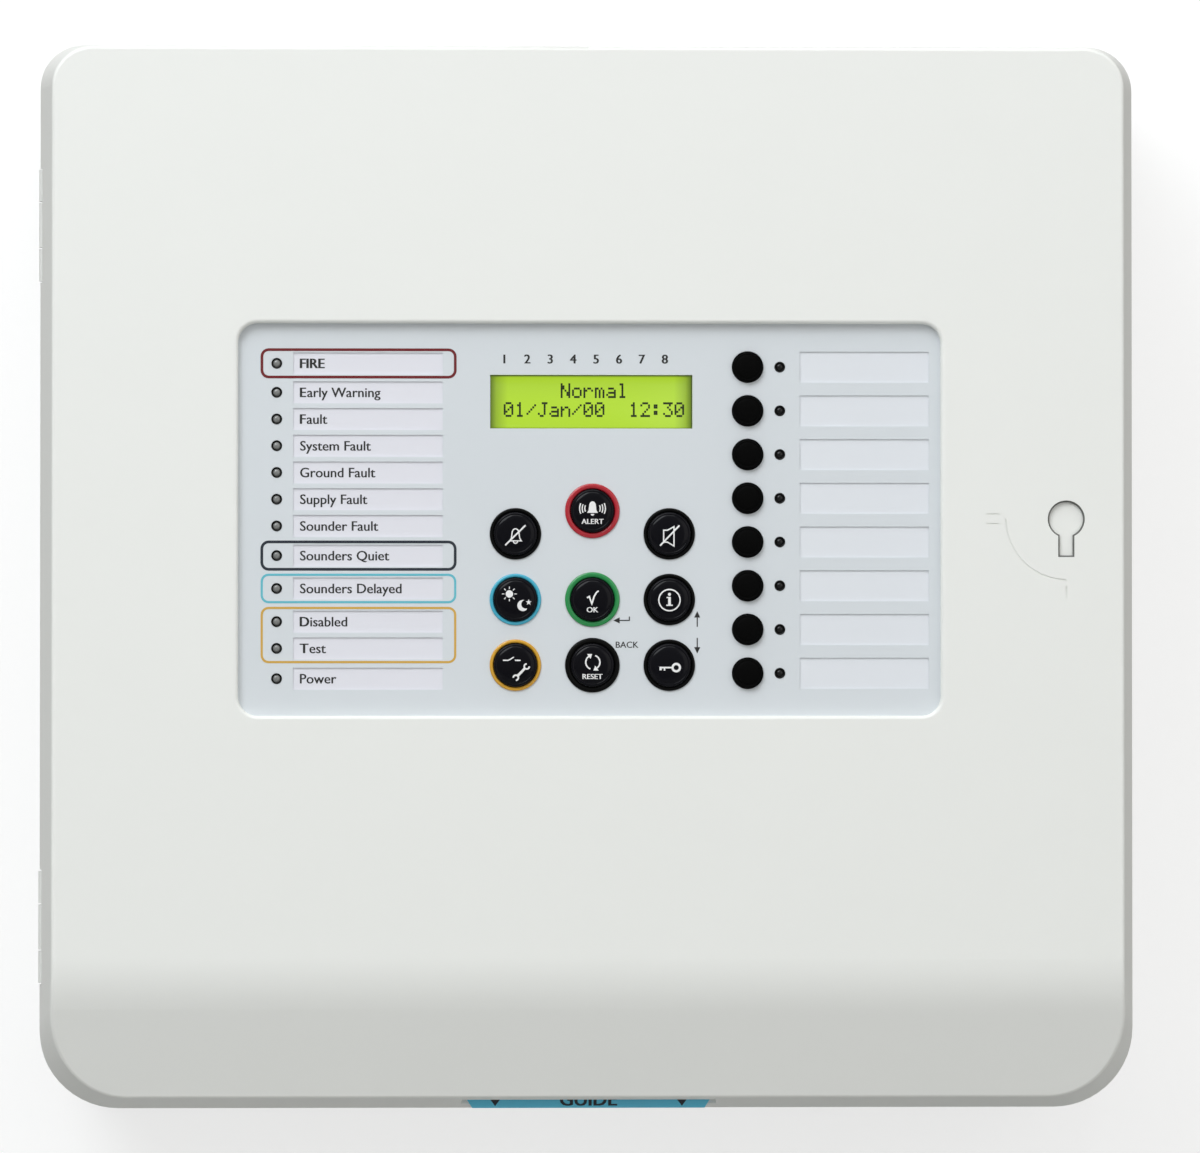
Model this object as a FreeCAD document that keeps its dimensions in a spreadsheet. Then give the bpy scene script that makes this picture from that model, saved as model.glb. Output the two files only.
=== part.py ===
"""Fire alarm control panel: a wall box, a hinged front cover with its controls, and the works inside.

The frame: X runs to the viewer's right, Y runs into the wall and Z runs up. The origin is the
middle of the box's back face, on the wall. Depths are measured out from the wall, so a depth is -Y.
"""
import FreeCAD, Part
import os
from math import cos, radians, sin, tan
from types import SimpleNamespace

import Sketcher
from FreeCAD import Placement, Rotation, Vector

DOC = FreeCAD.newDocument("control_panel")

# Every driving size, in millimetres or degrees. Depths are out from the wall.
SIZES = {
    # Enclosure
    "panel_width": 344.0,
    "panel_height": 334.0,
    "panel_depth": 100.0,
    "wall": 3.0,
    "box_depth": 70.0,
    "box_inset": 2.0,
    "door_gap": 0.5,
    "top_corner": 14.0,
    "low_corner": 25.0,
    "face_top_corner": 12.4,
    "face_low_corner": 26.0,
    "side_draft": 5.6,
    "top_draft": 3.0,
    "low_draft": 7.5,
    "edge_round": 1.2,
    "slope_angle": 20.0,
    "slope_rise": 47.6,
    "bend_radius": 45.0,
    "lip_height": 3.0,
    "lip_wall": 1.5,
    "lip_clearance": 1.3,
    # Wall fixings, cable entries
    "fixing_inset_x": 12.0,
    "fixing_inset_z": 32.0,
    "fixing_radius": 2.75,
    "fixing_boss": 6.5,
    "boss_rise": 3.0,
    "entry_radius": 10.25,
    "entry_pitch": 34.0,
    "entry_depth": 36.0,
    "entry_groove": 1.0,
    "entry_skin": 1.2,
    "grommet_clearance": 0.1,
    "grommet_flange": 12.6,
    "grommet_rim": 1.6,
    "rear_opening_width": 120.0,
    "rear_opening_height": 28.0,
    "rear_opening_drop": 35.0,
    "rear_opening_corner": 5.0,
    # Hinges
    "hinge_from_end": 57.0,
    "hinge_radius": 3.0,
    "pin_radius": 1.5,
    "pin_clearance": 0.06,
    "knuckle_length": 14.0,
    "lug_length": 10.0,
    "knuckle_gap": 0.5,
    "hinge_clearance": 0.4,
    "lug_web": 4.0,
    # Lock
    "lock_from_side": 23.6,
    "lock_height": 17.4,
    "keyhole_radius": 5.8,
    "keyhole_slot": 5.1,
    "keyhole_drop": 11.8,
    "keyhole_skin": 1.2,
    "barrel_radius": 13.0,
    "barrel_thickness": 5.2,
    "turning_clearance": 0.3,
    "lock_boss_wall": 2.2,
    "bush_thickness": 2.0,
    "bush_sleeve": 7.0,
    "shaft_radius": 5.0,
    "shaft_clearance": 0.08,
    "cam_length": 15.0,
    "cam_width": 9.0,
    "cam_thickness": 2.0,
    "cam_gap": 0.7,
    "strike_thickness": 2.5,
    "strike_height": 18.0,
    "strike_reach": 11.0,
    "turn_mark_radius": 18.9,
    "mark_width": 0.5,
    "mark_depth": 0.3,
    # Window and fascia
    "window_width": 218.2,
    "window_height": 121.8,
    "window_x": 0.3,
    "window_z": 17.2,
    "window_corner": 6.0,
    "window_round": 1.2,
    "overlay_thickness": 0.4,
    "overlay_lap": 5.0,
    "plate_thickness": 2.5,
    "plate_lap": 9.0,
    "panel_board_lap": 2.0,
    "board_thickness": 1.6,
    "plate_peg_height": 8.1,
    "peg_radius": 2.8,
    "peg_inset": 5.0,
    "hook_width": 12.0,
    "hook_wall": 2.5,
    "hook_nose": 1.5,
    "hook_slack": 0.1,
    # Status column: lamps and label slots
    "status_lamp_inset": 11.9,
    "status_top": 12.4,
    "status_pitch": 8.3,
    "status_label_width": 46.4,
    "status_label_height": 6.8,
    "status_label_gap": 5.1,
    "lamp_radius": 1.5,
    "lamp_clearance": 0.2,
    "lamp_proud": 0.3,
    # Zone column: keys, lamps and label slots
    "zone_key_inset": 60.0,
    "zone_top": 13.4,
    "zone_pitch": 13.6,
    "zone_key_radius": 4.65,
    "zone_lamp_gap": 10.0,
    "zone_label_gap": 6.2,
    "zone_label_width": 40.2,
    "zone_label_height": 9.6,
    "card_thickness": 0.3,
    "card_margin": 1.6,
    "card_clearance": 0.2,
    # Display
    "display_top": 24.2,
    "display_x": 0.5,
    "display_width": 62.9,
    "display_height": 16.7,
    "module_width": 80.0,
    "module_height": 36.0,
    "module_lift": 1.5,
    "bezel_width": 71.2,
    "bezel_height": 25.2,
    "bezel_depth": 4.8,
    "glass_depth": 2.4,
    # Control keys
    "key_column": 23.9,
    "key_centre_x": 0.8,
    "key_row": 20.4,
    "middle_row_drop": 85.7,
    "key_radius": 6.7,
    "key_clearance": 0.3,
    "ring_wall": 1.5,
    "side_ring_wall": 1.0,
    "ring_proud": 0.6,
    "key_proud": 1.5,
    "key_crown": 0.5,
    "crown_inset": 0.9,
    "flange_lap": 1.2,
    "flange_thickness": 1.0,
    "key_travel": 0.8,
    "stem_radius": 2.0,
    "switch_side": 6.2,
    "switch_height": 3.3,
    "plunger_height": 0.3,
    "plunger_radius": 1.7,
    # Information card and its holder
    "info_width": 76.0,
    "info_height": 112.0,
    "info_thickness": 0.8,
    "info_depth": 78.0,
    "info_lift": 0.4,
    "info_taper": 1.6,
    "info_tip": 2.6,
    "holder_wall": 2.0,
    "holder_side": 4.0,
    "holder_clearance": 0.4,
    "holder_rib": 50.0,
    "notch_flare": 3.0,
    "notch_clearance": 0.4,
    # Batteries
    "battery_width": 151.0,
    "battery_depth": 65.0,
    "battery_height": 94.0,
    "battery_gap": 4.0,
    "battery_step": 1.0,
    "battery_stand": 8.0,
    "rib_width": 4.0,
    "tab_width": 6.3,
    "tab_thickness": 0.8,
    "tab_height": 6.4,
    "tab_inset": 12.0,
    "battery_socket_inset": 48.0,
    "tab_depth": 40.0,
    "lead_radius": 1.6,
    # Boards in the box
    "standoff_height": 9.0,
    "standoff_radius": 4.0,
    "board_screw_inset": 6.0,
    "screw_radius": 1.5,
    "screw_head": 2.8,
    "screw_head_height": 2.0,
    "main_width": 194.0,
    "main_height": 150.0,
    "main_x": 53.0,
    "main_z": 35.0,
    "power_width": 96.0,
    "power_height": 100.0,
    "power_x": -102.0,
    "power_z": 10.0,
    "terminal_pitch": 5.08,
    "terminal_depth": 10.0,
    "terminal_rise": 12.0,
    "terminal_screw_drop": 2.4,
    "wire_entry_low": 2.0,
    "wire_entry_high": 5.0,
    "terminal_screw": 1.6,
    "relay_width": 15.5,
    "relay_length": 19.0,
    "relay_rise": 15.0,
    "relay_pitch": 21.0,
    "capacitor_radius": 5.0,
    "capacitor_rise": 20.0,
    "capacitor_pitch": 14.0,
    "fuse_length": 20.0,
    "fuse_radius": 2.6,
    "fuse_pitch": 12.0,
    "transformer_width": 48.0,
    "transformer_height": 42.0,
    "core_height": 30.2,
    "winding_width": 29.8,
    "winding_setback": 3.0,
    "winding_gap": 2.0,
    "transformer_rise": 30.0,
    "mains_block_width": 34.0,
    "mains_block_height": 17.0,
    "mains_block_rise": 15.0,
    "mains_block_lift": 18.0,
    "header_length": 30.0,
    "header_width": 8.0,
    "header_rise": 8.0,
    "ribbon_width": 25.4,
    "ribbon_thickness": 0.9,
    "ribbon_bend": 5.0,
    "ribbon_door_bend": 4.0,
    "ribbon_z": 6.0,
    "buzzer_radius": 6.0,
    "buzzer_rise": 6.5,
}

# Extra space under each status row, on top of the pitch, where a printed frame goes round it.
STATUS_GAPS = (0.7, 0.0, 0.0, 0.0, 0.0, 0.0, 0.9, 1.9, 2.0, 0.0, 1.1)
ZONES = 8
ENTRIES = 8
OPEN_ENTRIES = (2, 5)
ZONE_WAYS = 16
OUTPUT_WAYS = 12
RELAYS = 5
CAPACITORS = 4
FUSES = 4

# The nine control keys: name, column from the middle, row from the middle row.
CONTROL_KEYS = (
    ("key_evacuate", 0, 1.35),
    ("key_silence_buzzer", -1, 1),
    ("key_silence_sounders", 1, 1),
    ("key_day_night", -1, 0),
    ("key_acknowledge", 0, 0),
    ("key_information", 1, 0),
    ("key_test", -1, -1),
    ("key_reset", 0, -1),
    ("key_access", 1, -1),
)


class Dim:
    """A size worked out from the sheet: its formula for the document, and its present value."""

    def __init__(self, text, value):
        self.text = text
        self.value = float(value)

    def _with(self, sign, other, value):
        return Dim(f"({self.text} {sign} {as_dim(other).text})", value)

    def __add__(self, other):
        return self._with("+", other, self.value + as_dim(other).value)

    def __sub__(self, other):
        return self._with("-", other, self.value - as_dim(other).value)

    def __mul__(self, other):
        return self._with("*", other, self.value * as_dim(other).value)

    def __truediv__(self, other):
        return self._with("/", other, self.value / as_dim(other).value)

    def __radd__(self, other):
        return as_dim(other) + self

    def __rsub__(self, other):
        return as_dim(other) - self

    def __rmul__(self, other):
        return as_dim(other) * self

    def __neg__(self):
        return self * -1


def as_dim(value):
    """The Dim itself, or a plain number as a Dim."""
    if isinstance(value, Dim):
        return value
    return Dim(f"({float(value)})", value)


def sine(angle):
    """The sine of a Dim in degrees."""
    return Dim(f"sin({angle.text} * 1 deg)", sin(radians(angle.value)))


def cosine(angle):
    """The cosine of a Dim in degrees."""
    return Dim(f"cos({angle.text} * 1 deg)", cos(radians(angle.value)))


def tangent(angle):
    """The tangent of a Dim in degrees."""
    return Dim(f"tan({angle.text} * 1 deg)", tan(radians(angle.value)))


def make_sheet():
    """Writes every size to the spreadsheet and returns the sizes as Dims."""
    sheet = DOC.addObject("Spreadsheet::Sheet", "Sizes")
    for row, (name, value) in enumerate(SIZES.items(), start=1):
        sheet.set(f"A{row}", name)
        sheet.set(f"B{row}", str(value))
        sheet.setAlias(f"B{row}", name)
    DOC.recompute()
    return SimpleNamespace(**{name: Dim(f"Sizes.{name}", value) for name, value in SIZES.items()})


S = make_sheet()
NODES = []


# ---------------------------------------------------------------- building blocks

def bind(feature, **sizes):
    """Binds properties of a feature to the sheet."""
    for name, size in sizes.items():
        feature.setExpression(name, as_dim(size).text)


def place(feature, x, y, z):
    """Binds where a feature stands."""
    for axis, size in zip("xyz", (x, y, z)):
        feature.setExpression(f"Placement.Base.{axis}", as_dim(size).text)


def block(x, depth, z, label="block"):
    """A box between two places along X, depth and Z."""
    solid = DOC.addObject("Part::Box", label)
    bind(solid, Length=x[1] - x[0], Width=depth[1] - depth[0], Height=z[1] - z[0])
    place(solid, x[0], -as_dim(depth[1]), z[0])
    return solid


def centred(x, z, width, height, depth, label="block"):
    """A box about a centre in X and Z."""
    x, z, width, height = (as_dim(size) for size in (x, z, width, height))
    return block((x - width / 2, x + width / 2), depth, (z - height / 2, z + height / 2), label)


def rod(radius, x, z, depth, label="rod"):
    """A cylinder that points out of the wall."""
    solid = DOC.addObject("Part::Cylinder", label)
    solid.Placement = Placement(Vector(), Rotation(Vector(1, 0, 0), 90))
    bind(solid, Radius=radius, Height=depth[1] - depth[0])
    place(solid, x, -as_dim(depth[0]), z)
    return solid


def crown(radius, tip_radius, x, z, depth, label="crown"):
    """A cone frustum that points out of the wall."""
    solid = DOC.addObject("Part::Cone", label)
    solid.Placement = Placement(Vector(), Rotation(Vector(1, 0, 0), 90))
    bind(solid, Radius1=radius, Radius2=tip_radius, Height=depth[1] - depth[0])
    place(solid, x, -as_dim(depth[0]), z)
    return solid


def post(radius, x, depth, z, label="post"):
    """An upright cylinder."""
    solid = DOC.addObject("Part::Cylinder", label)
    bind(solid, Radius=radius, Height=z[1] - z[0])
    place(solid, x, -as_dim(depth), z[0])
    return solid


def fused(*shapes, label="fused"):
    """Several solids as one."""
    if len(shapes) == 1:
        return shapes[0]
    result = DOC.addObject("Part::MultiFuse", label)
    result.Shapes = list(shapes)
    result.Refine = True
    return result


def cut(base, *tools, label="cut"):
    """A solid with others taken out of it."""
    result = DOC.addObject("Part::Cut", label)
    result.Base = base
    result.Tool = fused(*tools)
    result.Refine = True
    return result


def common(first, second, label="common"):
    """What two solids share."""
    result = DOC.addObject("Part::Common", label)
    result.Base = first
    result.Tool = second
    return result


def group(shapes, label="group"):
    """Separate solids that share one node."""
    result = DOC.addObject("Part::Compound", label)
    result.Links = list(shapes)
    return result


def node(name, feature):
    """Names a finished sub-part, which also names its file."""
    feature.Label = name
    NODES.append(feature)
    return feature


# ---------------------------------------------------------------- sketches

def origin_plane(body, role):
    """One of a body's own origin planes."""
    return next(item for item in body.Origin.OriginFeatures if item.Role == role)


def new_sketch(body, role, offset):
    """A sketch on an origin plane, moved out along the plane's own normal."""
    sketch = body.newObject("Sketcher::SketchObject", "sketch")
    sketch.AttachmentSupport = [(origin_plane(body, role), "")]
    sketch.MapMode = "FlatFace"
    sketch.setExpression(".AttachmentOffset.Base.z", as_dim(offset).text)
    return sketch


def draw(sketch, corners):
    """Draws a closed outline whose corners are bound to the sheet.

    Each corner is (u, v) or (u, v, radius, centre_u, centre_v), which makes the edge to the next
    corner an arc about that centre.
    """
    points = [Vector(as_dim(c[0]).value, as_dim(c[1]).value, 0) for c in corners]
    count = len(corners)
    for index, corner in enumerate(corners):
        start = points[index]
        end = points[(index + 1) % count]
        if len(corner) == 2:
            sketch.addGeometry(Part.LineSegment(start, end))
            continue
        centre = Vector(as_dim(corner[3]).value, as_dim(corner[4]).value, 0)
        middle = (start + end) / 2 - centre
        middle = centre + middle.normalize() * as_dim(corner[2]).value
        sketch.addGeometry(Part.Arc(start, middle, end))
    ends = [edge_ends(sketch, index, points) for index in range(count)]
    for index in range(count):
        after = (index + 1) % count
        sketch.addConstraint(Sketcher.Constraint("Coincident", index, ends[index][1], after, ends[after][0]))
    for index, corner in enumerate(corners):
        hold(sketch, "DistanceX", index, ends[index][0], corner[0])
        hold(sketch, "DistanceY", index, ends[index][0], corner[1])
        if len(corner) > 2:
            number = sketch.addConstraint(Sketcher.Constraint("Radius", index, as_dim(corner[2]).value))
            name_size(sketch, number, corner[2])


def edge_ends(sketch, index, points):
    """Which ends of an edge are its start and its end: an arc may be stored the other way round."""
    first = sketch.getPoint(index, 1)
    return (1, 2) if first.distanceToPoint(points[index]) < 1e-6 else (2, 1)


def hold(sketch, kind, edge, end, size):
    """Holds one end of an edge at a bound distance from the sketch's origin."""
    number = sketch.addConstraint(Sketcher.Constraint(kind, -1, 1, edge, end, as_dim(size).value))
    name_size(sketch, number, size)


def name_size(sketch, number, size):
    """Names a constraint and binds it."""
    sketch.renameConstraint(number, f"size{number}")
    sketch.setExpression(f"Constraints.size{number}", as_dim(size).text)


def round_corners(left, right, low, top, low_radius, top_radius):
    """The corners of a rectangle with round corners, for draw()."""
    return [
        (left + low_radius, low),
        (right - low_radius, low, low_radius, right - low_radius, low + low_radius),
        (right, low + low_radius),
        (right, top - top_radius, top_radius, right - top_radius, top - top_radius),
        (right - top_radius, top),
        (left + top_radius, top, top_radius, left + top_radius, top - top_radius),
        (left, top - top_radius),
        (left, low + low_radius, low_radius, left + low_radius, low + low_radius),
    ]


def slab(corners, depth, label="slab"):
    """A padded outline between two depths."""
    body = DOC.addObject("PartDesign::Body", label)
    sketch = new_sketch(body, "XZ_Plane", depth[0])
    draw(sketch, corners)
    pad = body.newObject("PartDesign::Pad", "pad")
    pad.Profile = sketch
    bind(pad, Length=depth[1] - depth[0])
    return body


def drafted(near, near_depth, far, far_depth, label="drafted"):
    """A loft between two outlines at two depths."""
    body = DOC.addObject("PartDesign::Body", label)
    first = new_sketch(body, "XZ_Plane", near_depth)
    draw(first, near)
    second = new_sketch(body, "XZ_Plane", far_depth)
    draw(second, far)
    loft = body.newObject("PartDesign::AdditiveLoft", "loft")
    loft.Profile = first
    loft.Sections = [second]
    loft.Ruled = True
    return body


def side_profile(corners, width, label="profile"):
    """A padded outline in depth and Z, as wide as said, about the middle of X."""
    body = DOC.addObject("PartDesign::Body", label)
    sketch = new_sketch(body, "YZ_Plane", -width / 2)
    draw(sketch, corners)
    pad = body.newObject("PartDesign::Pad", "pad")
    pad.Profile = sketch
    bind(pad, Length=width)
    return body


# ---------------------------------------------------------------- shared places

HALF_WIDTH = S.panel_width / 2
HALF_HEIGHT = S.panel_height / 2
RIM = S.box_depth + S.door_gap
INNER_FACE = S.panel_depth - S.wall

HINGE_X = -HALF_WIDTH + S.hinge_radius
HINGE_DEPTH = RIM + S.hinge_radius
HINGE_HEIGHTS = (-HALF_HEIGHT + S.hinge_from_end, HALF_HEIGHT - S.hinge_from_end)

LOCK_X = HALF_WIDTH - S.lock_from_side
CAM_FRONT = S.box_depth - S.strike_thickness - S.cam_gap
CAM_BACK = CAM_FRONT - S.cam_thickness
BARREL_FRONT = S.panel_depth - S.keyhole_skin - S.turning_clearance
BARREL_BACK = BARREL_FRONT - S.barrel_thickness
BUSH_FRONT = BARREL_BACK - S.turning_clearance

OVERLAY_BACK = INNER_FACE - S.overlay_thickness
PLATE_BACK = OVERLAY_BACK - S.plate_thickness
PANEL_BOARD_FRONT = PLATE_BACK - S.plate_peg_height
PANEL_BOARD_BACK = PANEL_BOARD_FRONT - S.board_thickness
MODULE_FRONT = PANEL_BOARD_FRONT + S.module_lift + S.board_thickness

WINDOW_LEFT = S.window_x - S.window_width / 2
WINDOW_RIGHT = S.window_x + S.window_width / 2
WINDOW_LOW = S.window_z - S.window_height / 2
WINDOW_TOP = S.window_z + S.window_height / 2

STATUS_LAMP_X = WINDOW_LEFT + S.status_lamp_inset
STATUS_LABEL_X = STATUS_LAMP_X + S.status_label_gap + S.status_label_width / 2
ZONE_KEY_X = WINDOW_RIGHT - S.zone_key_inset
ZONE_LAMP_X = ZONE_KEY_X + S.zone_lamp_gap
ZONE_LABEL_X = ZONE_LAMP_X + S.zone_label_gap + S.zone_label_width / 2
DISPLAY_X = S.window_x + S.display_x
DISPLAY_Z = WINDOW_TOP - S.display_top

BOARD_BACK = S.wall + S.standoff_height
BOARD_FRONT = BOARD_BACK + S.board_thickness
MAIN_LEFT = S.main_x - S.main_width / 2
MAIN_RIGHT = S.main_x + S.main_width / 2
MAIN_LOW = S.main_z - S.main_height / 2
MAIN_TOP = S.main_z + S.main_height / 2

BATTERY_LOW = -HALF_HEIGHT + S.box_inset + S.battery_stand
BATTERY_TOP = BATTERY_LOW + S.battery_height
INFO_LOW = -HALF_HEIGHT + S.info_lift


def status_rows():
    """The height of each status row, from the top down."""
    height = WINDOW_TOP - S.status_top
    rows = [height]
    for gap in STATUS_GAPS:
        height = height - S.status_pitch - gap
        rows.append(height)
    return rows


def zone_rows():
    """The height of each zone row, from the top down."""
    return [WINDOW_TOP - S.zone_top - S.zone_pitch * row for row in range(ZONES)]


def control_places():
    """The centre of each control key and its ring's outer radius, by name."""
    middle = WINDOW_TOP - S.middle_row_drop
    centre = S.window_x + S.key_centre_x
    places = {}
    for name, column, row in CONTROL_KEYS:
        wall = S.side_ring_wall if column else S.ring_wall
        radius = S.key_radius + S.key_clearance + wall
        places[name] = (centre + S.key_column * column, middle + S.key_row * row, radius)
    return places


STATUS_ROWS = status_rows()
ZONE_ROWS = zone_rows()
CONTROLS = control_places()


def inset_outline(inset, side, top, low, top_corner, low_corner):
    """The panel's outline in front view, drawn in from the overall size on each side."""
    left = -HALF_WIDTH + side + inset
    right = HALF_WIDTH - side - inset
    return round_corners(left, right, -HALF_HEIGHT + low + inset, HALF_HEIGHT - top - inset,
                         low_corner - inset, top_corner - inset)


def centred_outline(x, z, width, height, corner):
    """A round-cornered rectangle about a centre."""
    return round_corners(x - width / 2, x + width / 2, z - height / 2, z + height / 2, corner, corner)


# ---------------------------------------------------------------- box

def hinge_spans(length, start=0.0):
    """The Z range of a length on each side of each hinge's middle, from a start distance."""
    spans = []
    for height in HINGE_HEIGHTS:
        low = height - start - length
        spans.append((low, height - start))
        spans.append((height + start, height + start + length))
    return spans


def fixing_places():
    """The four wall fixings."""
    x = HALF_WIDTH - S.fixing_inset_x
    z = HALF_HEIGHT - S.fixing_inset_z
    return [(sign_x * x, sign_z * z) for sign_x in (-1, 1) for sign_z in (-1, 1)]


def entry_places():
    """Where the cable entries stand along the top wall."""
    return [S.entry_pitch * (index - (ENTRIES - 1) / 2) for index in range(ENTRIES)]


def board_corners(left, right, low, top, inset):
    """The four screw places of a board."""
    return [(x, z) for x in (left + inset, right - inset) for z in (low + inset, top - inset)]


def main_board_screws():
    """The six screw places of the main board."""
    inset = S.board_screw_inset
    middle = [(S.main_x, MAIN_LOW + inset), (S.main_x, MAIN_TOP - inset)]
    return board_corners(MAIN_LEFT, MAIN_RIGHT, MAIN_LOW, MAIN_TOP, inset) + middle


def power_board_screws():
    """The four screw places of the power board."""
    half_width = S.power_width / 2
    half_height = S.power_height / 2
    return board_corners(S.power_x - half_width, S.power_x + half_width,
                         S.power_z - half_height, S.power_z + half_height, S.board_screw_inset)


def sealing_lip():
    """The lip inside the cover's rim, on every side but the hinge side."""
    corners = (0, 0, 0, S.top_corner, S.low_corner)
    span = (S.box_depth - S.lip_wall, S.box_depth + S.lip_height)
    outer = slab(inset_outline(S.wall + S.lip_clearance, *corners), span)
    inner = slab(inset_outline(S.wall + S.lip_clearance + S.lip_wall, *corners), span)
    hinge_end = block((-HALF_WIDTH, HINGE_X + S.top_corner), span, (-HALF_HEIGHT, HALF_HEIGHT))
    return cut(outer, inner, hinge_end)


def hinge_lugs():
    """The box's four hinge lugs with their webs."""
    lugs = []
    for span in hinge_spans(S.lug_length, S.knuckle_length / 2 + S.knuckle_gap):
        lugs.append(post(S.hinge_radius, HINGE_X, HINGE_DEPTH, span))
        web = (S.box_depth - S.lug_web, HINGE_DEPTH)
        lugs.append(block((HINGE_X, HINGE_X + S.hinge_radius), web, span))
    return lugs


def battery_ribs():
    """The ribs on the floor that the batteries stand on."""
    floor = -HALF_HEIGHT + S.box_inset + S.wall / 2
    ribs = []
    for side in (-1, 1):
        for share in (0.2, 0.8):
            x = side * (S.battery_gap / 2 + S.battery_width * share)
            ribs.append(block((x - S.rib_width / 2, x + S.rib_width / 2),
                              (S.wall / 2, S.battery_depth), (floor, BATTERY_LOW)))
    return ribs


def strike():
    """The lug on the side wall that the lock's cam turns behind."""
    wall = HALF_WIDTH - S.box_inset - S.wall
    return block((wall - S.strike_reach, wall + S.wall / 2),
                 (S.box_depth - S.strike_thickness, S.box_depth),
                 (S.lock_height - S.strike_height / 2, S.lock_height + S.strike_height / 2))


def entry_tools():
    """The cable entries: round grooves that leave a skin, and two that are opened."""
    top = HALF_HEIGHT - S.box_inset
    groove = (top - S.wall + S.entry_skin, top + S.wall)
    tools = []
    for index, x in enumerate(entry_places()):
        if index in OPEN_ENTRIES:
            tools.append(post(S.entry_radius, x, S.entry_depth, (top - 2 * S.wall, top + S.wall)))
            continue
        ring = post(S.entry_radius, x, S.entry_depth, groove)
        plug = post(S.entry_radius - S.entry_groove, x, S.entry_depth, groove)
        tools.append(cut(ring, plug))
    return tools


def rear_housing():
    """The box on the wall."""
    corners = (0, 0, 0, S.top_corner, S.low_corner)
    outer = slab(inset_outline(S.box_inset, *corners), (0, S.box_depth))
    inner = slab(inset_outline(S.box_inset + S.wall, *corners), (S.wall, S.box_depth + S.wall))
    lumps = [sealing_lip(), strike()] + hinge_lugs() + battery_ribs()
    for x, z in fixing_places():
        lumps.append(rod(S.fixing_boss, x, z, (S.wall / 2, S.wall + S.boss_rise)))
    for x, z in main_board_screws() + power_board_screws():
        lumps.append(rod(S.standoff_radius, x, z, (S.wall / 2, BOARD_BACK)))
    pad = (S.wall / 2, S.wall + S.boss_rise)
    lumps.append(centred(*mains_block_centre(), S.mains_block_width, S.mains_block_height, pad))
    tools = entry_tools()
    for x, z in fixing_places():
        tools.append(rod(S.fixing_radius, x, z, (-S.wall, S.wall * 3)))
    for x, z in main_board_screws() + power_board_screws():
        tools.append(rod(S.screw_radius, x, z, (S.wall, BOARD_BACK + S.wall)))
    for span in hinge_spans(S.lug_length, S.knuckle_length / 2 + S.knuckle_gap):
        tools.append(post(S.pin_radius, HINGE_X, HINGE_DEPTH, span))
    opening_z = HALF_HEIGHT - S.rear_opening_drop
    tools.append(slab(centred_outline(0, opening_z, S.rear_opening_width, S.rear_opening_height,
                                      S.rear_opening_corner), (-S.wall, S.wall * 3)))
    node("rear_housing", cut(fused(cut(outer, inner), *lumps), *tools))


def hinge_pins():
    """The two hinge pins, each as long as its hinge."""
    half = S.knuckle_length / 2 + S.knuckle_gap + S.lug_length
    pins = [post(S.pin_radius, HINGE_X, HINGE_DEPTH, (z - half, z + half)) for z in HINGE_HEIGHTS]
    node("hinge_pins", group(pins))


def entry_grommets():
    """A rubber grommet in each open cable entry."""
    top = HALF_HEIGHT - S.box_inset
    low = top - S.wall
    neck = S.entry_radius - S.grommet_clearance
    grommets = []
    for index in OPEN_ENTRIES:
        x = entry_places()[index]
        solid = fused(post(S.grommet_flange, x, S.entry_depth, (top, top + S.box_inset)),
                      post(neck, x, S.entry_depth, (low, top)),
                      post(S.grommet_flange, x, S.entry_depth, (low - S.grommet_rim, low)))
        hollow = post(neck - S.grommet_rim, x, S.entry_depth, (low - S.wall, top))
        grommets.append(cut(solid, hollow))
    node("entry_grommets", group(grommets))


# ---------------------------------------------------------------- batteries and leads

def battery_spans():
    """The X range of each battery."""
    gap = S.battery_gap / 2
    return ((-gap - S.battery_width, -gap), (gap, gap + S.battery_width))


def batteries():
    """The two standby batteries, each a case with a stepped lid."""
    lid = BATTERY_TOP - S.battery_stand
    back = S.wall + S.battery_step
    step = S.battery_step
    for name, (left, right) in zip(("battery_left", "battery_right"), battery_spans()):
        case = block((left, right), (back, back + S.battery_depth), (BATTERY_LOW, lid))
        top = block((left + step, right - step), (back + step, back + S.battery_depth - step),
                    (lid, BATTERY_TOP))
        node(name, fused(case, top))


def tab_places():
    """The X of each battery tab, from the left."""
    return [x for left, right in battery_spans() for x in (left + S.tab_inset, right - S.tab_inset)]


def battery_terminals():
    """The four blade tabs on the batteries."""
    tabs = []
    for x in tab_places():
        tabs.append(block((x - S.tab_width / 2, x + S.tab_width / 2),
                          (S.tab_depth - S.tab_thickness / 2, S.tab_depth + S.tab_thickness / 2),
                          (BATTERY_TOP, BATTERY_TOP + S.tab_height)))
    node("battery_terminals", group(tabs))


def spot(x, depth, z):
    """A point as a plain vector."""
    return Vector(as_dim(x).value, -as_dim(depth).value, as_dim(z).value)


def bent_path(points, radius):
    """A wire of straight runs joined by tangent arcs."""
    edges = []
    start = points[0]
    for before, corner, after in zip(points, points[1:], points[2:]):
        inward = (before - corner).normalize()
        outward = (after - corner).normalize()
        half_turn = (radians(180) - inward.getAngle(outward)) / 2
        reach = radius * tan(half_turn)
        arc_start = corner + inward * reach
        arc_end = corner + outward * reach
        bisector = (inward + outward).normalize()
        middle = corner + bisector * (radius / cos(half_turn) - radius)
        edges.append(Part.LineSegment(start, arc_start).toShape())
        edges.append(Part.Arc(arc_start, middle, arc_end).toShape())
        start = arc_end
    edges.append(Part.LineSegment(start, points[-1]).toShape())
    return Part.Wire(edges)


def swept(name, path, section):
    """A sub-part that follows a path."""
    feature = DOC.addObject("Part::Feature", name)
    feature.Shape = path.makePipeShell([section], True, False)
    feature.Placement = Placement()
    node(name, feature)


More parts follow.
